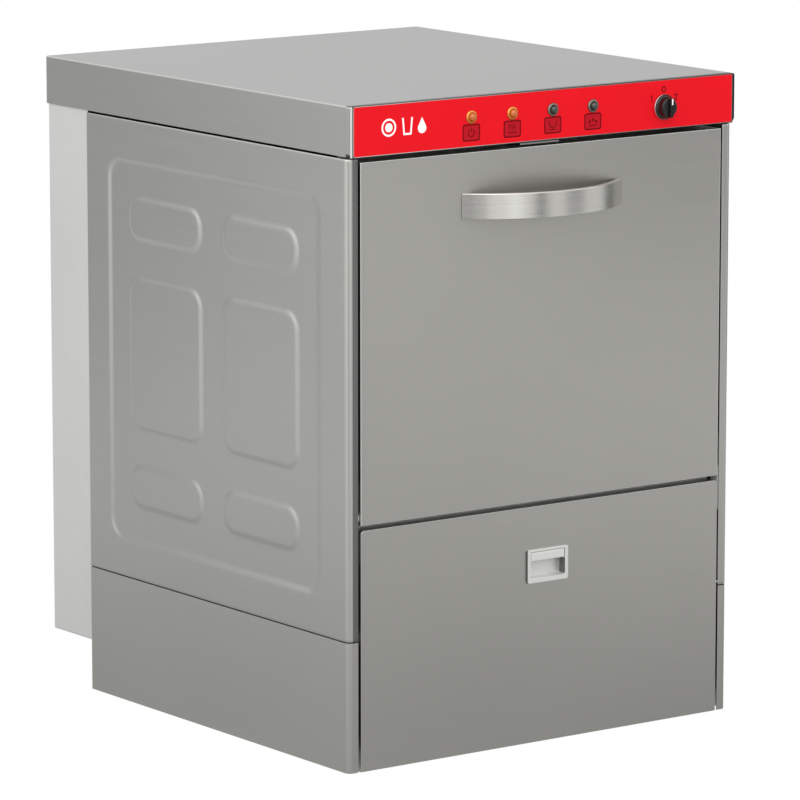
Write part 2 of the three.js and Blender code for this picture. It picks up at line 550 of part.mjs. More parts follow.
const overflowHeight = OVERFLOW.top - TANK.bottom - TOUCH;
place('overflow_pipe', cut(cylinder(OVERFLOW.radius, 0, overflowHeight),
  cylinder(OVERFLOW.bore, -EXTRA, overflowHeight + EXTRA)), whitePlastic,
[OVERFLOW.x, overflowY, TANK.bottom + TOUCH]);

const heaterEnd = tankBack - 2 * TOUCH;
const heaterFront = tankFront + HEATER.inset;
const heaterTurn = heaterFront + HEATER.half;
place('tank_heater', along(new THREE.CatmullRomCurve3([
  [HEATER.x - HEATER.half, heaterEnd, HEATER.z],
  [HEATER.x - HEATER.half, (heaterEnd + heaterTurn) / 2, HEATER.z],
  [HEATER.x - HEATER.half, heaterTurn, HEATER.z], [HEATER.x, heaterFront, HEATER.z],
  [HEATER.x + HEATER.half, heaterTurn, HEATER.z],
  [HEATER.x + HEATER.half, (heaterEnd + heaterTurn) / 2, HEATER.z],
  [HEATER.x + HEATER.half, heaterEnd, HEATER.z],
].map((point) => new THREE.Vector3(...point))), HEATER.radius, 20, 8), polishedSteel);

// ------------------------------------------------------------------ machinery in the base
const pumpY = PUMP.back + CHAMBER.front;
const pumpEnd = PUMP.x + PUMP.width;       // suction side of the volute
const pumpTop = PUMP.z + PUMP.radius;

// Volute: a drum about X with an inlet in its right face and an outlet spout on top.
function pumpHousing() {
  const x0 = PUMP.x;
  const spoutY = pumpY - PUMP.radius + PUMP.outlet + PUMP.wall;
  const spoutX = x0 + PUMP.width / 2;
  const drum = join(rodX(PUMP.radius, x0, pumpEnd, pumpY, PUMP.z, 24),
    rodZ(PUMP.outlet, PUMP.z, pumpTop + PUMP.wall, spoutX, spoutY));
  const room = rodX(PUMP.radius - PUMP.wall, x0 + PUMP.wall, pumpEnd - PUMP.wall, pumpY, PUMP.z, 24);
  return cut(drum, room, rodX(PUMP.inlet, pumpEnd - PUMP.wall - EXTRA, pumpEnd + EXTRA, pumpY, PUMP.z),
    rodX(IMPELLER.shaft + PLAY, x0 - EXTRA, x0 + PUMP.wall + EXTRA, pumpY, PUMP.z),
    rodZ(PUMP.outlet - PUMP.wall / 2, PUMP.z, pumpTop + PUMP.wall + EXTRA, spoutX, spoutY));
}
place('pump_housing', pumpHousing(), blackPlastic);

function pumpImpeller() {
  const x0 = PUMP.x + PUMP.wall + PLAY * 4;
  const disc = rodX(IMPELLER.radius, x0, x0 + IMPELLER.disc, pumpY, PUMP.z, 20);
  const hub = rodX(IMPELLER.vane, x0, x0 + IMPELLER.disc + IMPELLER.vane, pumpY, PUMP.z);
  const shaft = rodX(IMPELLER.shaft, PUMP.x - IMPELLER.shaftLength, x0 + IMPELLER.disc, pumpY, PUMP.z);
  const vanes = Array.from({ length: IMPELLER.vanes }, (_, i) => {
    const blade = new THREE.BoxGeometry(IMPELLER.vane, IMPELLER.disc / 2, IMPELLER.radius * 0.8);
    blade.translate(x0 + IMPELLER.disc + IMPELLER.vane / 2 - EXTRA / 2, 0, IMPELLER.radius * 0.5);
    return toSolid(blade.rotateX((2 * Math.PI * i) / IMPELLER.vanes).translate(0, pumpY, PUMP.z));
  });
  return join(disc, hub, shaft, ...vanes);
}
place('pump_impeller', pumpImpeller(), blackPlastic);

function pumpMotor() {
  const x1 = PUMP.x - MOTOR.gap;
  const x0 = x1 - MOTOR.length;
  const body = rodX(MOTOR.radius, x0, x1 - MOTOR.boss, pumpY, PUMP.z, 20);
  const neck = rodX(MOTOR.radius - MOTOR.boss / 2, x1 - MOTOR.boss - EXTRA, x1, pumpY, PUMP.z, 20);
  const fins = Array.from({ length: MOTOR.ribs }, (_, i) => {
    const x = x0 + ((i + 1) * (MOTOR.length - MOTOR.boss)) / (MOTOR.ribs + 1);
    return rodX(MOTOR.radius + MOTOR.ribs / 2, x, x + MOTOR.ribs, pumpY, PUMP.z, 20);
  });
  const bore = rodX(IMPELLER.shaft + PLAY, x1 - IMPELLER.shaftLength - MOTOR.gap, x1 + EXTRA, pumpY, PUMP.z);
  const saddle = block(x0 + MOTOR.boss, x1 - 2 * MOTOR.boss, pumpY - MOTOR.boss, pumpY + MOTOR.boss,
    panZ + PAN.thickness + TOUCH, PUMP.z);
  return cut(join(body, neck, ...fins, saddle), bore);
}
place('pump_motor', pumpMotor(), castIron);

const spoutY = pumpY - PUMP.radius + PUMP.outlet + PUMP.wall;
const underTank = TANK.bottom - SHEET - TOUCH;
// A hose leaves both of its ports square, so its ends are faces that meet them flat.
function hose(start, startWay, end, endWay, radius) {
  const from = new THREE.Vector3(...start);
  const to = new THREE.Vector3(...end);
  const reach = from.distanceTo(to) * HOSE.pull;
  const leave = new THREE.Vector3(...startWay).multiplyScalar(reach).add(from);
  const arrive = new THREE.Vector3(...endWay).multiplyScalar(reach).add(to);
  return along(new THREE.CubicBezierCurve3(from, leave, arrive, to), radius);
}
place('suction_hose', hose([pumpEnd + TOUCH, pumpY, PUMP.z], [1, 0, 0],
  [STRAINER.x, strainerY, underTank], [0, 0, -1], HOSE.suction), blackRubber);
place('pressure_hose', hose([PUMP.x + PUMP.width / 2, spoutY, pumpTop + PUMP.wall + TOUCH], [0, 0, 1],
  [0, armY, underTank], [0, 0, -1], HOSE.pressure), blackRubber);

// Rinse tank: an open-ended drum, the hole in its front flange is for the heating element.
function boiler() {
  const { dome, shoulder, flange, wall, elementHole } = BOILER_SHELL;
  const r = BOILER.radius;
  const end = BOILER.length;
  const shell = turned([[0, 0], [flange, 0], [flange, dome / 2], [shoulder, dome / 2],
    [r, dome], [r, end - dome], [shoulder, end], [0, end]], 24);
  const room = turned([[0, dome / 2 + wall], [shoulder - wall, dome / 2 + wall], [r - wall, dome + wall],
    [r - wall, end - dome - wall], [shoulder - wall, end - wall], [0, end - wall]], 24);
  return cut(shell, room, cylinder(elementHole, -EXTRA, dome));
}
place('boiler', boiler(), polishedSteel,
  [halfWidth - BOILER.inset, BOILER.front, BOILER.z], FACING_REAR);

function rinseAidPump() {
  const half = DOSER.bracket;
  return join(cylinder(DOSER.radius, 0, DOSER.depth, 20), block(-half, half, -half, half, -SHEET * 2, EXTRA),
    cylinder(DOSER.hub, DOSER.depth - EXTRA, DOSER.depth + DOSER.hubRise, 12));
}
place('rinse_aid_pump', rinseAidPump(), greyPlastic,
  [-halfWidth + DOSER.inset, DOSER.front + DOSER.depth, DOSER.z], FACING_FRONT);

place('air_break', cut(
  block(AIR_BREAK.x - AIR_BREAK.width / 2, AIR_BREAK.x + AIR_BREAK.width / 2, rearBoxBack - SHEET - TOUCH
    - AIR_BREAK.depth, rearBoxBack - SHEET - TOUCH, lidBottom - AIR_BREAK.drop - AIR_BREAK.height,
  lidBottom - AIR_BREAK.drop),
  block(AIR_BREAK.x - AIR_BREAK.width / 4, AIR_BREAK.x + AIR_BREAK.width / 4, bodyBack, rearBoxBack
    - AIR_BREAK.depth / 2, lidBottom - 2 * AIR_BREAK.drop, lidBottom),
), whitePlastic);

// Services on the rear wall of the base, in the recess under the rear cover.
place('inlet_valve', join(cylinder(INLET.radius, -INLET.inside, INLET.length),
  cylinder(INLET.hex, TOUCH, TOUCH + INLET.hexLength, 6)), brass,
[INLET.x, bodyBack, REAR_PORT_Z], FACING_REAR);
place('drain_outlet', join(cylinder(DRAIN.radius, -DRAIN.inside, DRAIN.length),
  cylinder(DRAIN.collar, TOUCH, DRAIN.radius / 2), cylinder(DRAIN.radius + EXTRA, DRAIN.length - 4 * EXTRA,
    DRAIN.length - 2 * EXTRA)), blackPlastic, [DRAIN.x, bodyBack, REAR_PORT_Z], FACING_REAR);
place('cable_gland', join(cylinder(GLAND.radius, -GLAND.inside, GLAND.nut + GLAND.cap),
  cylinder(GLAND.hex, TOUCH, GLAND.nut, 6), cylinder(GLAND.radius + 2 * EXTRA, GLAND.nut, GLAND.cap, 12)),
blackPlastic, [GLAND.x, bodyBack, REAR_PORT_Z], FACING_REAR);

// ------------------------------------------------------------------ door
function doorOuter() {
  const shell = block(-doorHalf, doorHalf, DOOR.front, doorBack - SHEET - TOUCH, DOOR.bottom, doorTop);
  const hollow = block(-doorHalf + SHEET, doorHalf - SHEET, DOOR.front + SHEET, doorBack, DOOR.bottom + SHEET,
    doorTop - SHEET);
  const pins = sides.map(([, side]) => {
    const [x0, x1] = span(side, doorHalf - SHEET - EXTRA, doorHalf + EXTRA);
    return rodX(HINGE.pin + PLAY, x0, x1, hingeY, hingeZ);
  });
  return cut(shell, hollow, ...pins);
}
place('door_outer', doorOuter(), brushedSteel);
place('door_inner', block(-doorHalf, doorHalf, doorBack - SHEET, doorBack, DOOR.bottom, doorTop),
  polishedSteel);
place('door_insulation', block(-doorHalf + DOOR_INSULATION.side, doorHalf - DOOR_INSULATION.side,
  DOOR.front + SHEET + DOOR_INSULATION.skin, doorBack - SHEET - DOOR_INSULATION.skin,
  DOOR.bottom + DOOR_INSULATION.bottom, doorTop - DOOR_INSULATION.top), greyFoam);

// Strap handle bowed in plan; both arcs end just short of the door's face.
function doorHandle() {
  const radius = (HANDLE.halfSpan ** 2 + HANDLE.bow ** 2) / (2 * HANDLE.bow);
  const centre = DOOR.front - HANDLE.bow + radius;
  const end = centre - (DOOR.front - TOUCH);
  const outer = Math.asin(end / radius);
  const inner = Math.asin(end / (radius - HANDLE.thickness));
  const arc = (r, from, to, steps = 20) => Array.from({ length: steps + 1 }, (_, i) => {
    const angle = from + ((to - from) * i) / steps;
    return [r * Math.cos(angle), centre + r * Math.sin(angle)];
  });
  const strap = polygon([...arc(radius, Math.PI + outer, 2 * Math.PI - outer),
    ...arc(radius - HANDLE.thickness, 2 * Math.PI - inner, Math.PI + inner)]);
  const top = doorTop - HANDLE.below;
  return prismZ(strap, top - HANDLE.height, top);
}
place('door_handle', doorHandle(), polishedSteel);

for (const [name, side] of sides) {
  const armInner = doorHalf + TOUCH + HINGE.bossLength;
  const armOuter = armInner + HINGE_ARM.thickness;
  const hookZ = hingeZ - HINGE.armLength;
  const [armA, armB] = span(side, armInner, armOuter);
  const [bossA, bossB] = span(side, doorHalf + TOUCH, armOuter);
  const [hookA, hookB] = span(side, armInner, armOuter + HINGE_ARM.hookReach);
  const half = HINGE.armWidth / 2;
  const outline = roundedRect(hingeY - half, hookZ - half, hingeY + half, hingeZ + half, half);
  const plate = prismX(outline, armA, armB);
  const holeEnds = [Math.min(bossA, armA) - EXTRA, Math.max(bossB, armB) + EXTRA];
  place(`hinge_arm_${name}`, cut(join(plate, rodX(HINGE.boss, bossA, bossB, hingeY, hingeZ),
    rodX(HINGE_ARM.hookPin, hookA, hookB, hingeY, hookZ)),
  rodX(HINGE.pin + PLAY, ...holeEnds, hingeY, hingeZ)), galvanisedSteel);

  const bracketInner = doorHalf + BRACKET.offset;
  const bracketOuter = bracketInner + BRACKET.thickness;
  const [plateA, plateB] = span(side, bracketInner, bracketOuter);
  const [footA, footB] = span(side, doorHalf - BRACKET.footInset, bracketOuter);
  const [pinA, pinB] = span(side, doorHalf - BRACKET.footInset + 2 * EXTRA, bracketOuter - EXTRA);
  const behind = CHAMBER.front + SHEET + TOUCH;
  const top = hingeZ + BRACKET.above;
  place(`hinge_bracket_${name}`, join(
    block(plateA, plateB, BODY_FRONT + SHEET + 2 * TOUCH, behind + BRACKET.thickness,
      hingeZ - BRACKET.below, top),
    block(footA, footB, behind, behind + BRACKET.thickness, top - BRACKET.footHeight, top),
    rodX(HINGE.pin, pinA, pinB, hingeY, hingeZ),
  ), galvanisedSteel);

  // Counterbalance spring from the arm's hook pin to the anchor tab in the base.
  const start = [hingeY, hookZ - HINGE_ARM.hookPin - TOUCH - SPRING.eye];
  const finishAt = [SPRING.anchorY, SPRING.anchorZ];
  const length = Math.hypot(finishAt[0] - start[0], finishAt[1] - start[1]);
  const tilt = Math.atan2(start[0] - finishAt[0], start[1] - finishAt[1]);
  place(`door_spring_${name}`, turned([[0, 0], [SPRING.eye, 0], [SPRING.eye, SPRING.radius * 2],
    [SPRING.radius, SPRING.radius * 3], [SPRING.radius, length - SPRING.radius * 3],
    [SPRING.eye, length - SPRING.radius * 2], [SPRING.eye, length], [0, length]], 10), polishedSteel,
  [side * springX, ...finishAt], [-tilt, 0, 0]);
}

// Sprung catch over the door's top edge, turning on a pin at its back.
const catchZ = doorTop + CATCH.clearance;
const catchBack = CATCH.front + CATCH.depth;
const catchPinZ = catchZ + CATCH_BRACKET.pin;
place('door_catch', join(
  block(CATCH.left, CATCH.right, CATCH.front, catchBack, catchZ, catchZ + CATCH.thickness),
  rodX(CATCH.pivot, CATCH.left - CATCH_BRACKET.ear, CATCH.right + CATCH_BRACKET.ear, catchBack, catchPinZ),
), polishedSteel);

function catchBracket() {
  const { ear, plate, reach, height } = CATCH_BRACKET;
  const back = CHAMBER.front - TOUCH;
  const left = CATCH.left - TOUCH - ear;
  const right = CATCH.right + TOUCH + ear;
  const body = join(block(left, right, back - plate, back, catchZ, catchZ + height),
    block(left, CATCH.left - TOUCH, catchBack - reach, back, catchZ, catchZ + height),
    block(CATCH.right + TOUCH, right, catchBack - reach, back, catchZ, catchZ + height));
  return cut(body, rodX(CATCH.pivot + PLAY, left - EXTRA, right + EXTRA, catchBack, catchPinZ));
}
place('catch_bracket', catchBracket(), galvanisedSteel);

// ------------------------------------------------------------------ service panel and its latch
const latchLeft = LATCH.x - LATCH.width / 2;
const latchRight = LATCH.x + LATCH.width / 2;
const latchBottom = LATCH.z - LATCH.height / 2;
const latchTop = LATCH.z + LATCH.height / 2;

function servicePanel() {
  const outline = roundedRect(-doorHalf, FLOOR_GAP, doorHalf, SERVICE_TOP, SERVICE.corner);
  const shell = join(prismY(outline, DOOR.front, DOOR.front + SERVICE.depth),
    block(-doorHalf, doorHalf, DOOR.front, DOOR.front + SERVICE.depth, FLOOR_GAP, FLOOR_GAP + SERVICE.depth));
  const hollow = block(-doorHalf + SHEET, doorHalf - SHEET, DOOR.front + SHEET,
    DOOR.front + SERVICE.depth + EXTRA, FLOOR_GAP + SHEET, SERVICE_TOP - SHEET);
  const n = LATCH.neck - TOUCH;
  const slot = block(latchLeft + n, latchRight - n, DOOR.front - EXTRA, DOOR.front + SHEET + EXTRA,
    latchBottom + n, latchTop - n);
  return cut(shell, hollow, slot);
}
place('service_panel', servicePanel(), brushedSteel);

const leverTop = latchTop - LATCH.neck;
const leverBottom = leverTop - LEVER.height;
const leverBack = DOOR.front - LATCH.proud + LEVER.thickness;
const recessLeft = LATCH.x - RECESS.width / 2;
const recessRight = LATCH.x + RECESS.width / 2;

function latchHousing() {
  const faceY = DOOR.front - LATCH.proud;
  const plate = prismY(roundedRect(latchLeft, latchBottom, latchRight, latchTop, LATCH.corner), faceY,
    DOOR.front - TOUCH);
  const n = LATCH.neck;
  const body = block(latchLeft + n, latchRight - n, DOOR.front - 2 * TOUCH, DOOR.front + LATCH.depth,
    latchBottom + n, latchTop - n);
  const recess = prismY(roundedRect(recessLeft, latchBottom + RECESS.lower, recessRight,
    leverBottom + LEVER.side, LATCH.corner), faceY - EXTRA, faceY + RECESS.depth);
  const leverSeat = block(recessLeft, recessRight, faceY - EXTRA, leverBack + LEVER.side,
    leverBottom - LEVER.side, leverTop - TOUCH);
  return cut(join(plate, body), recess, leverSeat);
}
place('latch_housing', latchHousing(), zincCasting);

const leverHingeY = DOOR.front - LATCH.proud + LEVER.hinge;
const leverHingeZ = leverTop - LEVER.side - LEVER.hinge;
place('latch_lever', join(
  block(recessLeft + LEVER.side, recessRight - LEVER.side, DOOR.front - LATCH.proud, leverBack,
    leverBottom + LEVER.side, leverHingeZ),
  rodX(LEVER.hinge, recessLeft + LEVER.side, recessRight - LEVER.side, leverHingeY, leverHingeZ, 12),
), zincCasting);

const boltTop = railTop - RAIL.height - BOLT.gap;
const boltY = DOOR.front + LATCH.depth + TOUCH;
place('latch_bolt', prismX(polygon([
  [boltY, boltTop - BOLT.length], [boltY + BOLT.thickness, boltTop - BOLT.length],
  [boltY + BOLT.thickness, boltTop], [boltY, boltTop - BOLT.thickness],
]), LATCH.x - BOLT.width / 2, LATCH.x + BOLT.width / 2), galvanisedSteel);

// ------------------------------------------------------------------ the finished part
// The footprint runs from the handle's bow to the top cover's rear edge.
const machine = new THREE.Group();
design.position.y = -((DOOR.front - HANDLE.bow) + DEPTH) / 2;
machine.add(design);

export default machine;
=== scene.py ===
"""Undercounter commercial dishwasher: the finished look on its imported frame.

Laid out as an add-on: property groups hold sizes and colours, each operator makes one group of pieces.
Pieces are in metres in the frame's own axes: +Z up, the front faces -Y, +X is its right-hand side.
"""
import json
import math

import bmesh
import bpy
from mathutils import Matrix, Vector

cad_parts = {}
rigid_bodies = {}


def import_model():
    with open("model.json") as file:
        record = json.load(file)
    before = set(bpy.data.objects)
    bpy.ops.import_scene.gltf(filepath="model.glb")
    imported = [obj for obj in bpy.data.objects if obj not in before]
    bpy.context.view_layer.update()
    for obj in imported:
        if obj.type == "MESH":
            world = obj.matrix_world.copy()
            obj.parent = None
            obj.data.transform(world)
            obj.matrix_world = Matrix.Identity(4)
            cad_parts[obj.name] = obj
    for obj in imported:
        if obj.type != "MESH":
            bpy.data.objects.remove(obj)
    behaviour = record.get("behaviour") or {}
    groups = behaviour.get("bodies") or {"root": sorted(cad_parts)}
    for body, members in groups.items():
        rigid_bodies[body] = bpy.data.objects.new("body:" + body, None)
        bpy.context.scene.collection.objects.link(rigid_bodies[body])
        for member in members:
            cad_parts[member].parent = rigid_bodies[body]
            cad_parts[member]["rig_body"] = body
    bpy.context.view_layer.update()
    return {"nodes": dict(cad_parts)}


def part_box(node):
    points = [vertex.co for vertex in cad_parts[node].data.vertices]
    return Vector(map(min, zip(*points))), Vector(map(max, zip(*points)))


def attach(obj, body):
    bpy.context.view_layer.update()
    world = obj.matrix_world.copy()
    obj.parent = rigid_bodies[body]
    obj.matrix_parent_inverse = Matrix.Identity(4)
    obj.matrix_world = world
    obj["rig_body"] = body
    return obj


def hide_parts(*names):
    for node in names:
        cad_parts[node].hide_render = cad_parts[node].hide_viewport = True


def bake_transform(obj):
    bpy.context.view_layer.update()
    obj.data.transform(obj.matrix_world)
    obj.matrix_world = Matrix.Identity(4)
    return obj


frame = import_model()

bl_info = {
    "name": "Commercial dishwasher",
    "version": (1, 0, 0),
    "blender": (4, 5, 0),
    "location": "3D View > Sidebar > Dishwasher",
    "description": "Builds the finished look of an undercounter dishwasher on its frame",
    "category": "Add Mesh",
}

MM = 0.001
QUARTER = math.pi / 2
NODES = frame["nodes"]
BODY_OF = {name: node["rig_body"] for name, node in NODES.items()}
SIDES = (("left", -1), ("right", 1))


# ---------------------------------------------------------------- colour and size settings
def linear(code):
    """An sRGB hex code such as A4A39F as a linear RGBA tuple."""
    parts = [int(code[i:i + 2], 16) / 255 for i in (0, 2, 4)]
    return (*[v / 12.92 if v <= 0.04045 else ((v + 0.055) / 1.055) ** 2.4 for v in parts], 1.0)


def colour(label, code, about):
    return bpy.props.FloatVectorProperty(name=label, description=about, subtype="COLOR", size=4,
                                         min=0, max=1, default=linear(code))


def length(label, millimetres, about):
    return bpy.props.FloatProperty(name=label, description=about, unit="LENGTH", subtype="DISTANCE",
                                   default=millimetres * MM, precision=4)


class DishwasherSheetMetal(bpy.types.PropertyGroup):
    front_steel: colour("Front steel", "B3B2AD", "Brushed sheet of the door and panels")
    side_steel: colour("Side steel", "B8B9B4", "Brushed sheet of the sides and base")
    # a lighter copy of the brushed sheet for the cover's upward faces: painted light from overhead
    cover_top_painted_light: colour("Cover steel", "BFBFBE", "Brushed sheet of the top cover")
    # the left flange's cross-brushed sheet is drawn much darker than the side sheet: painted shade
    left_flange_painted_shade: colour("Flange steel", "797978", "Cross-brushed flanges beside the door")
    rear_zinc: colour("Rear zinc", "C3C3C2", "Pale zinc-coated sheet of the rear cover")
    bend: length("Bend radius", 2.2, "Outside radius of a folded sheet edge")
    sheet: length("Sheet", 1.2, "Thickness of the outer sheet")
    emboss_depth: length("Emboss depth", 1.4, "How deep the side panel's field is pressed")
    emboss_slope: length("Emboss slope", 6.0, "Width of the pressed step")
    grid: length("Emboss grid", 3.0, "Mesh spacing over the pressed field")


class DishwasherControls(bpy.types.PropertyGroup):
    overlay: colour("Overlay", "DF101E", "Printed front film")
    print_dark: colour("Dark print", "6E0008", "Marks under the lamps and round the knob")
    print_light: colour("Light print", "F6F4F2", "Pale mark at the left")
    amber: colour("Amber lens", "CE6A16", "The two lamps at the left")
    green: colour("Green lens", "14352A", "The two lamps at the right")
    mark_stroke: length("Mark stroke", 1.3, "Line width of the printed marks")
    print_height: length("Print height", 0.06, "How far ink stands off the film")


class DishwasherChamber(bpy.types.PropertyGroup):
    perforation: length("Perforation", 7.0, "Hole size of the surface filter")
    pitch: length("Perforation pitch", 17.0, "Hole spacing of the surface filter")
    coil_wire: length("Spring wire", 1.6, "Wire of the door springs")
    coil_pitch: length("Spring pitch", 3.6, "Turn spacing of the door springs")


GROUPS = {"dishwasher_sheet": DishwasherSheetMetal, "dishwasher_controls": DishwasherControls,
          "dishwasher_chamber": DishwasherChamber}


# ---------------------------------------------------------------- materials
def add(tree, kind, inputs=None, **settings):
    """Adds one shader node; an input given a socket is linked, any other is set."""
    made = tree.nodes.new(kind)
    for key, value in settings.items():
        setattr(made, key, value)
    for key, value in (inputs or {}).items():
        if isinstance(value, bpy.types.NodeSocket):
            tree.links.new(value, made.inputs[key])
        else:
            made.inputs[key].default_value = value
    return made


def new_material(name):
    made = bpy.data.materials.new(name)
    made.use_nodes = True
    tree = made.node_tree
    tree.nodes.clear()
    return made, tree


def close_material(tree, shader):
    add(tree, "ShaderNodeOutputMaterial", {"Surface": shader.outputs[0]})


def principled(made, tree, inputs):
    """Finishes a material whose whole surface is one Principled shader."""
    close_material(tree, add(tree, "ShaderNodeBsdfPrincipled", inputs))
    return made


def noise(tree, scale, detail=2.0, rough=0.5):
    """Noise over the piece's own coordinates; scale is cycles per metre along x, y and z."""
    where = add(tree, "ShaderNodeTexCoord")
    stretched = add(tree, "ShaderNodeMapping", {"Vector": where.outputs["Object"], "Scale": scale})
    return add(tree, "ShaderNodeTexNoise", {"Vector": stretched.outputs[0], "Scale": 1.0,
                                            "Detail": detail, "Roughness": rough}).outputs[0]


def spread(tree, value, low, high):
    """Maps a 0..1 pattern to low..high."""
    return add(tree, "ShaderNodeMapRange", {"Value": value, "To Min": low, "To Max": high}).outputs[0]


def shade(tree, base, value, low, high):
    """The base colour times a pattern spread between low and high."""
    factor = spread(tree, value, low, high)
    mixed = add(tree, "ShaderNodeMix", {0: 1.0, 6: base, 7: factor}, data_type="RGBA",
                blend_type="MULTIPLY")
    return mixed.outputs[2]


def bump(tree, height, strength, distance):
    return add(tree, "ShaderNodeBump", {"Height": height, "Strength": strength,
                                        "Distance": distance}).outputs[0]


GRAIN_WIDTH = 0.0011   # belt grit leaves 0.1 mm lines; drawn ten times coarser so that they show
GRAIN_LENGTH = 0.16    # a belt scratch is a hand's breadth long
CLOUD = 0.35           # handling marks and rolling tone, a forearm across


def grain_scale(across):
    """Cycles per metre of scratches that vary along one axis only."""
    return tuple(1 / GRAIN_WIDTH if axis in across else 1 / GRAIN_LENGTH for axis in "XYZ")


def brushed_stainless(name, base, across="Z", roughness=0.34, streak=0.05):
    """304 stainless sheet, belt-brushed: fine parallel lines soften reflections across the grain."""
    made, tree = new_material(name)
    lines = noise(tree, grain_scale(across), 3.0, 0.65)
    cloud = noise(tree, (1 / CLOUD,) * 3, 2.0)
    tinted = shade(tree, base, lines, 1 - streak, 1 + streak)
    toned = shade(tree, tinted, cloud, 0.96, 1.04)
    rough = spread(tree, lines, roughness - 0.05, roughness + 0.07)
    return principled(made, tree, {
        "Base Color": toned, "Metallic": 1.0, "Roughness": rough,
        "Normal": bump(tree, lines, 0.12, 0.00015)})


def zinc_coated(name, base):
    """Hot-dip zinc on mild steel, skin-passed: a pale matt sheet with a faint cloudy spangle."""
    made, tree = new_material(name)
    spangle = add(tree, "ShaderNodeTexVoronoi", {
        "Vector": add(tree, "ShaderNodeTexCoord").outputs["Object"], "Scale": 1 / 0.014},
        feature="F1")
    cloud = noise(tree, (6.0,) * 3, 3.0)
    mottled = shade(tree, base, spangle.outputs["Distance"], 0.985, 1.01)
    toned = shade(tree, mottled, cloud, 0.97, 1.03)
    return principled(made, tree, {
        "Base Color": toned, "Metallic": 0.35, "Roughness": spread(tree, cloud, 0.42, 0.55)})


def bright_steel(name, base, roughness=0.16):
    """Polished or 2B stainless: clear reflections, a little milky from handling."""
    made, tree = new_material(name)
    haze = noise(tree, (14.0,) * 3, 3.0)
    return principled(made, tree, {
        "Base Color": shade(tree, base, haze, 0.95, 1.03), "Metallic": 1.0,
        "Roughness": spread(tree, haze, roughness - 0.04, roughness + 0.08)})


def moulded_plastic(name, base, roughness=0.42, spark=0.0006, depth=0.00004):
    """Injection-moulded ABS with a spark-eroded texture that breaks up its gloss."""
    made, tree = new_material(name)
    texture = noise(tree, (1 / spark,) * 3, 2.0)
    cloud = noise(tree, (9.0,) * 3, 2.0)
    return principled(made, tree, {
        "Base Color": shade(tree, base, cloud, 0.93, 1.07), "Roughness":
        spread(tree, texture, roughness - 0.06, roughness + 0.08), "IOR": 1.5,
        "Normal": bump(tree, texture, 0.2, depth)})


def printed_film(name, base):
    """Polycarbonate film printed on its back: an even colour under a satin, slightly wavy skin."""
    made, tree = new_material(name)
    wave = noise(tree, (30.0,) * 3, 2.0)
    grit = noise(tree, (1100.0,) * 3, 1.0)
    return principled(made, tree, {
        "Base Color": shade(tree, base, wave, 0.97, 1.03), "IOR": 1.58,
        "Roughness": spread(tree, wave, 0.30, 0.38), "Specular IOR Level": 0.07,
        "Normal": bump(tree, grit, 0.06, 0.00003)})


def screen_ink(name, base):
    """Screen-printed ink: flat and dense, with a slightly uneven edge of pigment."""
    made, tree = new_material(name)
    grain = noise(tree, (700.0,) * 3, 2.0)
    return principled(made, tree, {
        "Base Color": shade(tree, base, grain, 0.92, 1.05), "Roughness": 0.4,
        "Specular IOR Level": 0.08})


def tinted_lens(name, base, glow):
    """Tinted polycarbonate lamp cap: a clear skin over a finely ribbed colour."""
    made, tree = new_material(name)
    cloud = noise(tree, (220.0,) * 3, 1.0)
    ribs = noise(tree, (900.0,) * 3, 1.0)
    deep = shade(tree, base, ribs, 0.8, 1.1)
    return principled(made, tree, {
        "Base Color": deep, "IOR": 1.58, "Roughness": spread(tree, cloud, 0.1, 0.2),
        "Coat Weight": 0.6, "Coat Roughness": 0.05, "Transmission Weight": 0.25,
        "Emission Color": base, "Emission Strength": glow})


def rubber(name, base):
    """Extruded EPDM: near black, matt, with a faint dusty bloom."""
    made, tree = new_material(name)
    bloom = noise(tree, (60.0,) * 3, 4.0)
    return principled(made, tree, {
        "Base Color": shade(tree, base, bloom, 0.8, 1.5), "Roughness": spread(tree, bloom, 0.6, 0.8),
        "IOR": 1.52, "Normal": bump(tree, bloom, 0.1, 0.0002)})


def cast_metal(name, base, roughness=0.5, metallic=0.2):
    """Painted casting: a slightly pitted skin under an even coat."""
    made, tree = new_material(name)
    pits = noise(tree, (420.0,) * 3, 4.0, 0.6)
    return principled(made, tree, {
        "Base Color": shade(tree, base, pits, 0.9, 1.06), "Metallic": metallic,
        "Roughness": spread(tree, pits, roughness - 0.08, roughness + 0.1),
        "Normal": bump(tree, pits, 0.15, 0.0002)})


def felted_foam(name, base):
    """Needled insulation felt: matt and fuzzy, fibre tufts a few millimetres across."""
    made, tree = new_material(name)
    tufts = noise(tree, (350.0,) * 3, 5.0, 0.7)
    return principled(made, tree, {
        "Base Color": shade(tree, base, tufts, 0.6, 1.2), "Roughness": 0.95, "Sheen Weight": 0.3,
        "Normal": bump(tree, tufts, 0.5, 0.001)})


MATERIALS = {}


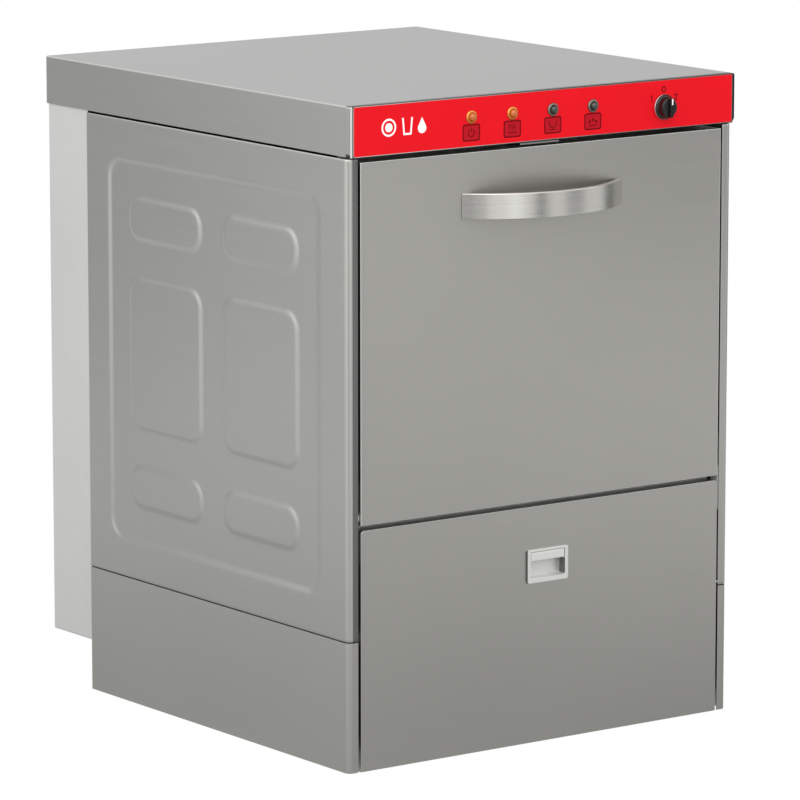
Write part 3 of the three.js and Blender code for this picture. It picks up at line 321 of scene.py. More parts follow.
def make_materials(scene):
    sheet, controls = scene.dishwasher_sheet, scene.dishwasher_controls
    front, side = tuple(sheet.front_steel), tuple(sheet.side_steel)
    MATERIALS.update({
        "front_steel": brushed_stainless("stainless_brushed_front", front, "Z"),
        "side_steel": brushed_stainless("stainless_brushed_side", side, "Z"),
        "cover_top_painted_light": brushed_stainless("stainless_brushed_cover_painted_light", tuple(sheet.cover_top_painted_light), "Y"),
        "left_flange_painted_shade": brushed_stainless("stainless_cross_brushed_painted_shade", tuple(sheet.left_flange_painted_shade), "XY",
                                          streak=0.03),
        "handle_steel": brushed_stainless("stainless_linished_handle", linear("C9C8C3"), "Z", 0.24, 0.1),
        "brushed_steel": brushed_stainless("stainless_brushed", side, "Z"),
        "galvanised_steel": zinc_coated("zinc_coated_sheet", tuple(sheet.rear_zinc)),
        "polished_steel": bright_steel("stainless_bright_annealed", linear("C6C6C3")),
        "chrome": bright_steel("chrome_plated", linear("E2E2E0"), 0.08),
        "pale_gold": bright_steel("passivated_gold_ring", linear("DE914C"), 0.24),
        "dark_nickel": bright_steel("black_nickel_plated", linear("77766F"), 0.2),
        # near-white steel for folded edges and the fascia's end strip: painted highlight
        "burnished_edge": bright_steel("stainless_edge_painted_highlight", linear("F4F4F1"), 0.3),
        "red_overlay": printed_film("polycarbonate_film_red", tuple(controls.overlay)),
        "print_dark": screen_ink("ink_dark_red", tuple(controls.print_dark)),
        "print_field": screen_ink("ink_dusky_red", linear("B3101F")),
        "print_light": screen_ink("ink_white", tuple(controls.print_light)),
        "amber_lens": tinted_lens("polycarbonate_lens_amber", tuple(controls.amber), 0.12),
        "green_lens": tinted_lens("polycarbonate_lens_green", tuple(controls.green), 0.0),
        "black_plastic": moulded_plastic("abs_moulded_black", linear("1B1B1C")),
        "gloss_black": moulded_plastic("abs_polished_black", linear("121213"), 0.22),
        "grey_plastic": moulded_plastic("abs_moulded_grey", linear("C4C5C1")),
        "white_plastic": moulded_plastic("polypropylene_moulded_white", linear("E4E4DE"), 0.4),
        "zinc_casting": cast_metal("zinc_die_cast_satin", linear("DEDFDB"), 0.34, 0.55),
        # darker zinc for the latch recess walls: painted shade, the same casting as the housing
        "zinc_recess_painted_shade": cast_metal("zinc_die_cast_painted_shade", linear("6E6F6C"), 0.45, 0.5),
        "satin_steel": bright_steel("stainless_satin_2b", linear("BDBDBA"), 0.3),
        "black_rubber": rubber("epdm_extruded", linear("1D1D1D")),
        "cast_iron": cast_metal("motor_painted_casting", linear("3D4246"), 0.5, 0.2),
        "grey_foam": felted_foam("insulation_felt", linear("8D8D8A")),
        "brass": bright_steel("brass_machined", linear("B9954F"), 0.28),
    })


# ---------------------------------------------------------------- mesh helpers
def arc(cx, cy, radius, start, end, steps):
    """Points on an arc, both ends included; angles in radians."""
    return [(cx + radius * math.cos(start + (end - start) * i / steps),
             cy + radius * math.sin(start + (end - start) * i / steps)) for i in range(steps + 1)]


def rounded_loop(x0, y0, x1, y1, radius, steps=5):
    """A rounded rectangle's outline, anticlockwise."""
    r = min(radius, (x1 - x0) / 2, (y1 - y0) / 2)
    return (arc(x1 - r, y0 + r, r, -QUARTER, 0, steps) + arc(x1 - r, y1 - r, r, 0, QUARTER, steps)
            + arc(x0 + r, y1 - r, r, QUARTER, 2 * QUARTER, steps)
            + arc(x0 + r, y0 + r, r, 2 * QUARTER, 3 * QUARTER, steps))


def circle_loop(cx, cy, radius, steps=24):
    return arc(cx, cy, radius, 0, 2 * math.pi, steps)[:-1]


def facing_front(y, x=0, z=0):
    """Puts a drawing in (x, z) on the plane y, its thickness growing towards the front."""
    return Matrix.Translation((x, y, z)) @ Matrix.Rotation(QUARTER, 4, "X")


def flat_plate(loops, thickness, edge=0.0, place=Matrix.Identity(4)):
    """A plate with holes from closed outlines, its lower face on the drawing plane."""
    curve = bpy.data.curves.new("outline", "CURVE")
    curve.dimensions, curve.fill_mode = "2D", "BOTH"
    curve.extrude, curve.bevel_depth, curve.bevel_resolution = thickness / 2 - edge, edge, 1
    curve.offset = -edge
    for loop in loops:
        spline = curve.splines.new("POLY")
        spline.points.add(len(loop) - 1)
        spline.use_cyclic_u = True
        for point, (x, y) in zip(spline.points, loop):
            point.co = (x, y, 0, 1)
    drawn = bpy.data.objects.new("outline", curve)
    mesh = bpy.data.meshes.new_from_object(drawn)
    made = bmesh.new()
    made.from_mesh(mesh)
    bmesh.ops.remove_doubles(made, verts=made.verts, dist=1e-6)
    bmesh.ops.transform(made, matrix=place @ Matrix.Translation((0, 0, thickness / 2)), verts=made.verts)
    bpy.data.objects.remove(drawn)
    bpy.data.curves.remove(curve)
    bpy.data.meshes.remove(mesh)
    return made


def merge(*parts):
    """Joins bmeshes into the first."""
    whole = parts[0]
    for part in parts[1:]:
        mesh = bpy.data.meshes.new("part")
        part.to_mesh(mesh)
        whole.from_mesh(mesh)
        part.free()
        bpy.data.meshes.remove(mesh)
    return whole


def moved(part, matrix):
    bmesh.ops.transform(part, matrix=matrix, verts=part.verts)
    return part


def loft(rings, closed=True, cap_start=False, cap_end=False):
    """Quads between rings of equally many points."""
    made = bmesh.new()
    rows = [[made.verts.new(p) for p in ring] for ring in rings]
    count = len(rows[0])
    for low, high in zip(rows, rows[1:]):
        for i in range(count if closed else count - 1):
            j = (i + 1) % count
            made.faces.new((low[i], low[j], high[j], high[i]))
    if cap_start:
        made.faces.new(rows[0][::-1])
    if cap_end:
        made.faces.new(rows[-1])
    bmesh.ops.recalc_face_normals(made, faces=made.faces)
    return made


def turned(profile, steps=32, place=Matrix.Identity(4)):
    """A body of revolution about Z from (radius, height) points; ends on the axis are capped."""
    rings = [[(r * math.cos(2 * math.pi * i / steps), r * math.sin(2 * math.pi * i / steps), z)
              for i in range(steps)] for r, z in profile if r > 0]
    closed_ring = profile[0] == profile[-1]
    made = loft(rings, cap_start=not closed_ring, cap_end=not closed_ring)
    if closed_ring:
        bmesh.ops.remove_doubles(made, verts=made.verts, dist=1e-7)
        bmesh.ops.recalc_face_normals(made, faces=made.faces)
    return moved(made, place)


def swept(path, section):
    """A section, drawn in (side, up), carried along a path; side stays level where it can."""
    rings = []
    for i, point in enumerate(path):
        here = Vector(point)
        after = Vector(path[min(i + 1, len(path) - 1)])
        before = Vector(path[max(i - 1, 0)])
        ahead = (after - before).normalized()
        side = ahead.cross(Vector((0, 0, 1)))
        side = side.normalized() if side.length > 1e-4 else Vector((1, 0, 0))
        up = side.cross(ahead)
        rings.append([tuple(here + side * u + up * v) for u, v in section])
    return loft(rings, cap_start=True, cap_end=True)


def brick(lo, hi):
    """A box between two corners."""
    made = bmesh.new()
    bmesh.ops.create_cube(made, size=1.0)
    size = Vector(hi) - Vector(lo)
    middle = (Vector(hi) + Vector(lo)) / 2
    return moved(made, Matrix.Translation(middle) @ Matrix.Diagonal((*size, 1.0)))


def folded_box(lo, hi, open_sides, bend, steps=4):
    """Outer skin of a folded sheet box with some faces left open; its edges are rounded bends."""
    made = brick(lo, hi)
    ways = {"-X": (-1, 0, 0), "+X": (1, 0, 0), "-Y": (0, -1, 0), "+Y": (0, 1, 0), "-Z": (0, 0, -1),
            "+Z": (0, 0, 1)}
    made.normal_update()
    gone = [f for f in made.faces if any(f.normal.dot(Vector(ways[s])) > 0.9 for s in open_sides)]
    bmesh.ops.delete(made, geom=gone, context="FACES")
    inner = [e for e in made.edges if len(e.link_faces) == 2]
    bmesh.ops.bevel(made, geom=inner, offset=bend, segments=steps, profile=0.5, affect="EDGES")
    return made


def copy_of(node):
    """The node's own solid with its flat triangles merged into whole faces."""
    made = bmesh.new()
    made.from_mesh(NODES[node].data)
    bmesh.ops.remove_doubles(made, verts=made.verts, dist=2e-6)
    bmesh.ops.dissolve_limit(made, angle_limit=math.radians(1), verts=made.verts, edges=made.edges)
    return made


def link_mesh(name, made):
    """A new object holding the bmesh, in the scene."""
    mesh = bpy.data.meshes.new(name)
    made.to_mesh(mesh)
    made.free()
    piece = bpy.data.objects.new(name, mesh)
    bpy.context.scene.collection.objects.link(piece)
    return piece, mesh


def put(name, made, materials, body, replaces=(), edge=0.0, sheet=0.0, smooth=40, steps=2,
        burnished=False):
    """Turns a bmesh into a finished piece: material, rounded edges, sheet thickness and body."""
    piece, mesh = link_mesh(name, made)
    mesh.polygons.foreach_set("use_smooth", [True] * len(mesh.polygons))
    mesh.set_sharp_from_angle(angle=math.radians(smooth))
    for key in [materials] if isinstance(materials, str) else materials:
        mesh.materials.append(MATERIALS[key])
    if sheet:
        solid = piece.modifiers.new("sheet", "SOLIDIFY")
        solid.thickness, solid.offset, solid.use_even_offset = sheet, -1, True
    if edge:
        bevel = piece.modifiers.new("edges", "BEVEL")
        bevel.width, bevel.segments, bevel.limit_method = edge, steps, "ANGLE"
        bevel.angle_limit = math.radians(35)
        if burnished:           # painted highlight: the bevels get a near-white steel, brighter than the sheet
            mesh.materials.append(MATERIALS["burnished_edge"])
            bevel.material = len(mesh.materials) - 1
    even = piece.modifiers.new("even_normals", "WEIGHTED_NORMAL")
    even.keep_sharp = True
    if body:
        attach(piece, body)
    if replaces:
        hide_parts(*replaces)
    return piece


def refine(node, material, edge=0.5, steps=2, burnished=False):
    """Stands in for a node with the same solid, edges rounded and finish applied."""
    return put(node + "_skin", copy_of(node), material, BODY_OF[node], (node,), edge * MM,
               steps=steps, burnished=burnished)


def sections(node):
    lo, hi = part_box(node)
    return lo, hi, (lo + hi) / 2


# ---------------------------------------------------------------- stage
CAMERA_AT = (-4.120, -5.6435, 1.636)
CAMERA_AIM = (-0.006, -0.0155, 0.398)
CAMERA_LENS = 246.6
STUDIO_BRIGHT_SIDE = Vector((-0.72, -0.36, 0.59))
STUDIO_LOW, STUDIO_HIGH = 0.35, 1.75
FLOOR_NEAR, FLOOR_FAR, FLOOR_REACH = 0.46, 0.86, 3.0


def aim(thing, target):
    way = Vector(target) - thing.location
    thing.rotation_euler = way.to_track_quat("-Z", "Y").to_euler()


def flag(name, place, target, size, grey):
    """A card only reflections see, stood beside the machine to shape them."""
    made = bmesh.new()
    bmesh.ops.create_grid(made, x_segments=1, y_segments=1, size=0.5)
    bmesh.ops.scale(made, vec=(size[0], size[1], 1), verts=made.verts)
    card, mesh = link_mesh(name, made)
    card.location = place
    aim(card, target)
    material, tree = new_material(name + "_card")
    weave = noise(tree, (40.0,) * 3, 2.0)
    close_material(tree, add(tree, "ShaderNodeEmission", {
        "Color": shade(tree, linear("FFFFFF"), weave, 0.98, 1.0), "Strength": grey}))
    mesh.materials.append(material)
    card.visible_camera = card.visible_diffuse = card.visible_shadow = False


def area_light(name, place, target, size, power):
    lamp = bpy.data.lights.new(name, "AREA")
    lamp.shape, lamp.size, lamp.size_y = "RECTANGLE", size[0], size[1]
    lamp.energy = power
    made = bpy.data.objects.new(name, lamp)
    made.location = place
    made.visible_camera = False
    bpy.context.scene.collection.objects.link(made)
    aim(made, target)
    return made


class DISHWASHER_OT_stage(bpy.types.Operator):
    """Camera, pale floor, soft studio light and the materials"""
    bl_idname = "dishwasher.stage"
    bl_label = "Stage"

    def execute(self, context):
        scene = context.scene
        camera = bpy.data.objects.new("camera", bpy.data.cameras.new("camera"))
        camera.data.lens, camera.data.sensor_width = CAMERA_LENS, 36.0
        camera.location = CAMERA_AT
        aim(camera, CAMERA_AIM)
        scene.collection.objects.link(camera)
        scene.camera = camera
        camera.data.clip_end = 100.0

        make_materials(scene)
        world = bpy.data.worlds.new("studio")
        scene.world = world
        world.use_nodes = True
        tree = world.node_tree
        tree.nodes.clear()
        # the studio is brighter to the front left and overhead; the backdrop itself reads as white
        way = add(tree, "ShaderNodeTexCoord").outputs["Generated"]
        facing = add(tree, "ShaderNodeVectorMath", {0: way, 1: STUDIO_BRIGHT_SIDE},
                     operation="DOT_PRODUCT").outputs["Value"]
        studio = add(tree, "ShaderNodeMapRange", {"Value": facing, "From Min": -1.0, "From Max": 1.0,
                                                  "To Min": STUDIO_LOW, "To Max": STUDIO_HIGH})
        seen = add(tree, "ShaderNodeLightPath").outputs["Is Camera Ray"]
        level = add(tree, "ShaderNodeMix", {"Factor": seen, "A": studio.outputs[0], "B": 1.0})
        sky = add(tree, "ShaderNodeBackground", {"Color": linear("FFFFFF"), "Strength": level.outputs[0]})
        add(tree, "ShaderNodeOutputWorld", {"Surface": sky.outputs[0]})

        made = bmesh.new()
        bmesh.ops.create_grid(made, x_segments=1, y_segments=1, size=14.0)
        floor, mesh = link_mesh("floor", made)
        mesh.materials.append(self.paper())

        area_light("key", (-1.6, -3.4, 3.2), (0, 0, 0.4), (2.6, 2.6), 20)
        area_light("fill", (3.4, -2.2, 1.8), (0, 0, 0.4), (2.4, 2.4), 8)
        area_light("rim", (-3.0, 1.6, 2.4), (0, 0, 0.5), (2.0, 2.0), 8)
        # cards at these headings put the light and dark bars into the bowed handle
        for name, heading, away, width, grey in (
                ("strip_bright", -10, 2.2, 0.36, 1.3), ("strip_dark", 9, 2.1, 0.30, 0.15),
                ("strip_far_right", 104, 2.4, 2.6, 0.18), ("strip_left", -43, 2.3, 0.9, 0.42)):
            turn = math.radians(heading)
            at = (away * math.sin(turn), -away * math.cos(turn), 0.45)
            flag(name, at, (0, 0, 0.45), (width, 1.1), grey)
        flag("rear_left", (-1.45, 2.12, 0.5), (-0.3, 0.26, 0.45), (1.2, 1.6), 0.42)
        flag("front_right", (1.15, -1.5, 0.68), (0.1, -0.3, 0.7), (0.55, 0.5), 0.24)
        scene.view_settings.view_transform = "Standard"
        return {"FINISHED"}

    def paper(self):
        """White paper glowing evenly where it is looked at; in reflections it is greyer near the machine,
        painted shade, and brighter towards the studio's bright side, painted light.
        """
        made, tree = new_material("paper_backdrop_white")
        seen = add(tree, "ShaderNodeLightPath").outputs["Is Camera Ray"]
        where = add(tree, "ShaderNodeTexCoord").outputs["Object"]
        away = add(tree, "ShaderNodeVectorMath", {0: where}, operation="LENGTH").outputs["Value"]
        # painted shade: in reflections the paper glows greyer close to the machine
        tone = add(tree, "ShaderNodeMapRange", {"Value": away, "From Min": 0.3, "From Max": FLOOR_REACH,
                                                "To Min": FLOOR_NEAR, "To Max": FLOOR_FAR},
                   interpolation_type="SMOOTHSTEP")
        # painted light: in reflections the paper glows brighter towards the studio's bright side
        heading = add(tree, "ShaderNodeVectorMath", {0: where}, operation="NORMALIZE").outputs["Vector"]
        side = add(tree, "ShaderNodeVectorMath", {0: heading, 1: STUDIO_BRIGHT_SIDE},
                   operation="DOT_PRODUCT").outputs["Value"]
        turn = add(tree, "ShaderNodeMapRange", {"Value": side, "From Min": -0.8, "From Max": 0.8,
                                                "To Min": 0.94, "To Max": 1.08}).outputs[0]
        patch = add(tree, "ShaderNodeMath", {0: tone.outputs[0], 1: turn}, operation="MULTIPLY")
        level = add(tree, "ShaderNodeMix", {"Factor": seen, "A": patch.outputs[0], "B": 1.0})
        lit = add(tree, "ShaderNodeEmission", {"Color": linear("FFFFFF"), "Strength": level.outputs[0]})
        close_material(tree, lit)
        return made


# ---------------------------------------------------------------- sheet metal
EDGE_RADIUS = 7 * MM
FLANGE = 15 * MM
BACK_FOLD = 12 * MM
FIELD = {"front": 59, "rear": 49, "foot": 48, "head": 50, "radius": 27}
PAD = {"margin": 46, "gap": 45, "height": 58, "radius": 26}


def inside(y, z, box, radius):
    """Distance inside a rounded rectangle's outline; negative outside it."""
    y0, z0, y1, z1 = box
    dy = abs(y - (y0 + y1) / 2) - (y1 - y0) / 2 + radius
    dz = abs(z - (z0 + z1) / 2) - (z1 - z0) / 2 + radius
    outside = math.hypot(max(dy, 0), max(dz, 0)) + min(max(dy, dz), 0)
    return radius - outside


def ease(t):
    t = min(max(t, 0.0), 1.0)
    return t * t * (3 - 2 * t)


def pressing(lo, hi):
    """Depth of the pressed side panel, 0..1, as a function of y and z."""
    y0, y1 = lo.y + FIELD["front"] * MM, hi.y - FIELD["rear"] * MM
    z0, z1 = lo.z + FIELD["foot"] * MM, hi.z - FIELD["head"] * MM
    margin, gap, short = PAD["margin"] * MM, PAD["gap"] * MM, PAD["height"] * MM
    wide = (y1 - y0 - 2 * margin - gap) / 2
    tall = z1 - z0 - 2 * margin - 2 * gap - 2 * short
    pads = [(y, z, y + wide, z + h) for y in (y0 + margin, y1 - margin - wide)
            for z, h in ((z0 + margin, short), (z0 + margin + short + gap, tall),
                         (z1 - margin - short, short))]
    return (y0, z0, y1, z1), pads


def embossed_wall(side, lo, hi, sheet):
    """Flange, rounded front edge, pressed side and rear fold of one side panel as one sheet."""
    outer = max(abs(lo.x), abs(hi.x))
    field, pads = pressing(lo, hi)
    slope, depth = sheet.emboss_slope, sheet.emboss_depth
    r = EDGE_RADIUS
    across = [(outer - FLANGE, lo.y), (outer - r, lo.y)]
    across += arc(outer - r, lo.y + r, r, -QUARTER, 0, 7)[1:]
    count = round((hi.y - lo.y - r) / sheet.grid)
    across += [(outer, lo.y + r + (hi.y - lo.y - r) * i / count) for i in range(1, count + 1)]
    across += [(outer - BACK_FOLD, hi.y)]
    rows = round((hi.z - lo.z) / sheet.grid)
    rings = []
    for j in range(rows + 1):
        z = lo.z + (hi.z - lo.z) * j / rows
        ring = []
        for x, y in across:
            sunk = 0.0
            if x == outer:
                sunk = ease(inside(y, z, field, FIELD["radius"] * MM) / slope)
                for pad in pads if sunk else ():
                    sunk *= 1 - ease(inside(y, z, pad, PAD["radius"] * MM) / slope)
            ring.append((side * (x - depth * sunk), y, z))
        rings.append(ring)
    made = loft(rings, closed=False)
    made.faces.ensure_lookup_table()
    if made.faces[len(made.faces) // 2].calc_center_median().x * made.faces[
            len(made.faces) // 2].normal.x < 0:
        bmesh.ops.reverse_faces(made, faces=made.faces)
    for face in made.faces:
        face.material_index = 1 if abs(face.calc_center_median().x) < outer - r else 0
    return made


class DISHWASHER_OT_side_panels(bpy.types.Operator):
    """Pressed side panels with their flanges"""
    bl_idname = "dishwasher.side_panels"
    bl_label = "Side panels"

    def execute(self, context):
        sheet = context.scene.dishwasher_sheet
        for name, side in SIDES:
            node = "side_panel_" + name
            lo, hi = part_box(node)
            # only the left flange gets the darker sheet as painted shade; the right flange uses the front
            # sheet
            flange = "left_flange_painted_shade" if side < 0 else "front_steel"
            put(node + "_pressed", embossed_wall(side, lo, hi, sheet), ("side_steel", flange), "cabinet",
                (node,), sheet=sheet.sheet)
        return {"FINISHED"}


class DISHWASHER_OT_covers(bpy.types.Operator):
    """Top cover and rear cover"""
    bl_idname = "dishwasher.covers"
    bl_label = "Covers"

    def execute(self, context):
        sheet = context.scene.dishwasher_sheet
        lo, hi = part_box("top_cover")
        made = folded_box(lo, hi, ("-Z", "-Y"), sheet.bend)
        made.normal_update()
        # upward faces get the lighter sheet as painted light, and the folded sides get the side sheet; their
        # grain also runs another way
        for face in made.faces:
            face.material_index = 0 if face.normal.z > 0.6 else 1
        put("top_cover_folded", made, ("cover_top_painted_light", "side_steel"), "cabinet",
            ("top_cover",), sheet=sheet.sheet)
        lo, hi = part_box("rear_cover")
        put("rear_cover_folded", folded_box(lo, hi, ("+Z", "-Y"), sheet.bend), "galvanised_steel",
            "cabinet", ("rear_cover",), sheet=sheet.sheet)
        return {"FINISHED"}


class DISHWASHER_OT_base(bpy.types.Operator):
    """Skirt and pan, feet and front rail"""
    bl_idname = "dishwasher.base"
    bl_label = "Base"

    def execute(self, context):
        lo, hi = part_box("base_frame")
        made = copy_of("base_frame")
        for face in made.faces:     # the front flanges are brushed with the door and panel
            middle = face.calc_center_median()
            if face.normal.y < -0.9 and middle.y < lo.y + FLANGE:
                face.material_index = 1
        put("base_frame_skin", made, ("side_steel", "front_steel"), "cabinet",
            ("base_frame",), 0.5 * MM, burnished=True)
        for corner in ("front_left", "front_right", "rear_left", "rear_right"):
            refine("foot_" + corner, "black_plastic", 1.0)
        refine("front_rail", "galvanised_steel", 0.6)
        return {"FINISHED"}


# ---------------------------------------------------------------- control panel
def stroke(points, width, closed=False):
    """Outline loops of a line drawn with a constant width."""
    path = [Vector(p) for p in points]
    count = len(path)
    left, right = [], []
    for i, here in enumerate(path):
        after = path[(i + 1) % count] if closed or i + 1 < count else here
        before = path[i - 1] if closed or i else here
        ahead, behind = (after - here), (here - before)
        ahead = ahead.normalized() if ahead.length > 1e-9 else behind.normalized()
        behind = behind.normalized() if behind.length > 1e-9 else ahead
        normal = Vector((-(ahead + behind).y, (ahead + behind).x)).normalized()
        spread_out = width / 2 / max(normal.dot(Vector((-ahead.y, ahead.x))), 0.5)
        left.append(tuple(here + normal * spread_out))
        right.append(tuple(here - normal * spread_out))
    return [left, right] if closed else [left + right[::-1]]


def inked(drawings, y, height):
    """Prints each drawing, a list of loops in (x, z), as a thin plate whose back is on plane y."""
    return merge(*[flat_plate(loops, height, 0.0, facing_front(y)) for loops in drawings])


def shifted(loops, x, z):
    return [[(px + x, pz + z) for px, pz in loop] for loop in loops]


def drop_loop(x, z, r):
    """A water drop: a round belly under a point."""
    return [(x, z + 2.1 * r)] + arc(x, z, r, math.radians(150), math.radians(390), 14)


def power_mark(w):
    return [stroke(arc(0, -0.4 * MM, 4.6 * MM, math.radians(125), math.radians(415), 20), w),
            stroke([(0, 0.6 * MM), (0, 6.2 * MM)], w)]


def heat_mark(w):
    waves = []
    for x in (-4.2, 0.0, 4.2):
        waves.append(stroke([((x + 1.1 * math.sin(t / 9 * 2 * math.pi)) * MM, (-1.2 + 0.8 * t) * MM)
                             for t in range(10)], w))
    return waves + [stroke([(-7 * MM, -4.6 * MM), (7 * MM, -4.6 * MM)], w)]


def cup_mark(w):
    bowl = [(-6, 5), (-4.6, -0.6), (-1.6, -3.2), (1.6, -3.2), (4.6, -0.6), (6, 5)]
    return [stroke([(x * MM, z * MM) for x, z in bowl], w),
            stroke([(-4 * MM, -5.4 * MM), (4 * MM, -5.4 * MM)], w)]


def rinse_mark(w):
    return [[drop_loop(x * MM, z * MM, 1.7 * MM)] for x, z in ((-5, -0.8), (0, 1.6), (5, -0.8))] + [
        stroke([(-6.6 * MM, -5.2 * MM), (6.6 * MM, -5.2 * MM)], w)]


DIGITS = {
    "0": [arc(0, 0, 1.5, 0, 2 * math.pi, 14)[:-1]],
    "1": [[(-0.9, 1.0), (0.2, 2.0), (0.2, -2.0)]],
    "2": [[(-1.2, 1.1), (-0.5, 2.0), (0.7, 1.9), (1.1, 0.9), (-1.2, -1.9), (1.3, -1.9)]],
}


MARK = {"below": 19.4, "half_width": 13.4, "half_height": 10.6, "radius": 3.2}  # under each lamp, mm
DIAL_RADIUS = 22.3 * MM     # knob axis to the middle of a number
PICTOGRAM = {"plate": 58, "glass": 86, "drop": 108, "stroke": 2.4}      # mm from the fascia's left end
END_TRIM = 3.4 * MM    # steel left showing at the fascia's left end
LIP_DROP = 3.2 * MM    # the film's lower lip reaches over the gap above the door


class DISHWASHER_OT_controls(bpy.types.Operator):
    """Control fascia, its printed film, lamps, knob, switch and control box"""
    bl_idname = "dishwasher.controls"
    bl_label = "Controls"

    def execute(self, context):
        controls = context.scene.dishwasher_controls
        lo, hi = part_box("control_fascia")
        front, w, ink = lo.y, controls.mark_stroke, controls.print_height
        made = copy_of("control_fascia")
        for vert in made.verts:     # the moulding's rim sits just behind the film that wraps it
            if vert.co.y < front + 0.1 * MM:
                vert.co.y = front + 0.22 * MM
                if vert.co.z < lo.z + 0.1 * MM:
                    vert.co.z = lo.z - LIP_DROP
        for face in made.faces:     # a steel end cap closes the moulding's left end
            face.material_index = 1 if face.normal.x < -0.6 and face.calc_center_median().x < lo.x + MM else 0
        put("control_fascia_skin", made, ("gloss_black", "side_steel"), "cabinet",
            ("control_fascia",), 0.25 * MM)

        left, right = lo.x + END_TRIM + 1.6 * MM, hi.x - 3.6 * MM
        foot, head = lo.z - LIP_DROP + 0.7 * MM, hi.z - 0.7 * MM
        # the steel strip at the fascia's left end is drawn near white: real steel with a painted highlight
        trim = [(lo.x + 0.2 * MM, foot), (lo.x + END_TRIM, foot), (lo.x + END_TRIM, head),
                (lo.x + 0.2 * MM, head)]
        put("control_fascia_trim", flat_plate([trim], 0.3 * MM, 0.0, facing_front(front + 0.2 * MM)),
            "burnished_edge", "cabinet")
        corner = 2.6 * MM
        knob_lo, knob_hi, knob_at = sections("control_knob")
        lamps = [sections(f"lamp_{n}") for n in (1, 2, 3, 4)]
        holes = [circle_loop(at.x, at.z, (a.x - at.x) * -0.9, 28) for a, b, at in lamps]
        film = flat_plate([rounded_loop(left, foot, right, head, corner)] + holes
                          + [circle_loop(knob_at.x, knob_at.z, 8 * MM, 28)],
                          0.12 * MM, 0.0, facing_front(front + 0.2 * MM))
        put("control_overlay_film", film, "red_overlay", "cabinet", ("control_overlay",))
        line = 0.8 * MM
        frame_line = flat_plate([
            rounded_loop(left, foot, right, head, corner),
            rounded_loop(left + line, foot + line, right - line, head - line, corner - line)],
            0.05 * MM, 0.0, facing_front(front + 0.08 * MM))
        put("control_overlay_line", frame_line, "polished_steel", "cabinet")

        face = front + 0.08 * MM
        for n, ((a, b, at), mark) in enumerate(zip(lamps, (power_mark, heat_mark, cup_mark, rinse_mark)), 1):
            z = at.z - MARK["below"] * MM
            half = (MARK["half_width"] * MM, MARK["half_height"] * MM)
            box = rounded_loop(at.x - half[0], z - half[1], at.x + half[0], z + half[1],
                               MARK["radius"] * MM)
            rim = w * 1.35
            inner = rounded_loop(at.x - half[0] + rim, z - half[1] + rim, at.x + half[0] - rim,
                                 z + half[1] - rim, 2.0 * MM)
            put(f"lamp_{n}_mark_field", inked([[inner]], face, ink / 2), "print_field", "cabinet")
            drawings = [[box, inner]] + [shifted(loops, at.x, z) for loops in mark(w)]
            put(f"lamp_{n}_mark", inked(drawings, face, ink), "print_dark", "cabinet")

            tone = "amber_lens" if n <= 2 else "green_lens"
            ring = "pale_gold" if n <= 2 else "dark_nickel"
            r = (b.x - a.x) / 2
            bezel = turned([(r * 0.62, 0.2 * MM), (r * 0.62, 1.4 * MM), (r * 0.72, 2.2 * MM),
                            (r * 0.90, 1.9 * MM), (r, 0.9 * MM), (r, 0.05 * MM), (r * 0.62, 0.2 * MM)], 36,
                           facing_front(front + 0.1 * MM, at.x, at.z))
            put(f"lamp_{n}_bezel", bezel, ring, "cabinet")
            rise = front - a.y
            lens = turned([(r * 0.60, -0.6 * MM), (r * 0.61, 1.0 * MM), (r * 0.56, rise * 0.62),
                           (r * 0.40, rise * 0.86), (r * 0.2, rise * 0.97), (r * 0.03, rise)], 32,
                          facing_front(front, at.x, at.z))
            neck = turned([(r * 0.58, -18 * MM), (r * 0.60, -0.6 * MM)], 24,
                          facing_front(front, at.x, at.z))
            put(f"lamp_{n}_lens", lens, tone, "cabinet", (f"lamp_{n}",))
            put(f"lamp_{n}_neck", neck, "grey_plastic", "cabinet")

        # dial numbers round the knob, and a plate, glass and drop at the left
        dial = []
        for digit, turn in (("1", 150), ("0", 90), ("2", 30)):
            x = knob_at.x + DIAL_RADIUS * math.cos(math.radians(turn))
            z = knob_at.z + DIAL_RADIUS * math.sin(math.radians(turn))
            for line_points in DIGITS[digit]:
                closed = digit == "0"
                scaled = [(px * 1.9 * MM + x, pz * (2.3 if closed else 1.9) * MM + z)
                          for px, pz in line_points]
                dial.append(stroke(scaled, 1.5 * MM, closed))
        put("knob_numbers", inked(dial, face, ink), "print_dark", "cabinet")
        mark_z = (lo.z + hi.z) / 2 + 0.5 * MM
        plate_x, glass_x, drop_x, thick = (lo.x + PICTOGRAM["plate"] * MM, lo.x + PICTOGRAM["glass"] * MM,
                                           lo.x + PICTOGRAM["drop"] * MM, PICTOGRAM["stroke"] * MM)
        drawings = [
            [circle_loop(plate_x, mark_z, 11 * MM, 36), circle_loop(plate_x, mark_z, 11 * MM - thick, 36)],
            [circle_loop(plate_x, mark_z, 5.6 * MM, 28)],
            stroke([(glass_x - 7 * MM, mark_z + 10.5 * MM), (glass_x - 5 * MM, mark_z - 9.6 * MM),
                    (glass_x + 5 * MM, mark_z - 9.6 * MM), (glass_x + 7 * MM, mark_z + 10.5 * MM)], thick),
            [drop_loop(drop_x, mark_z - 4 * MM, 6.4 * MM)],
        ]
        put("front_pictogram", inked(drawings, face, ink), "print_light", "cabinet")

        self.knob(knob_lo, knob_hi, knob_at, front)
        refine("rotary_switch", "black_plastic", 0.6)
        refine("control_box", "galvanised_steel", 0.6)
        return {"FINISHED"}

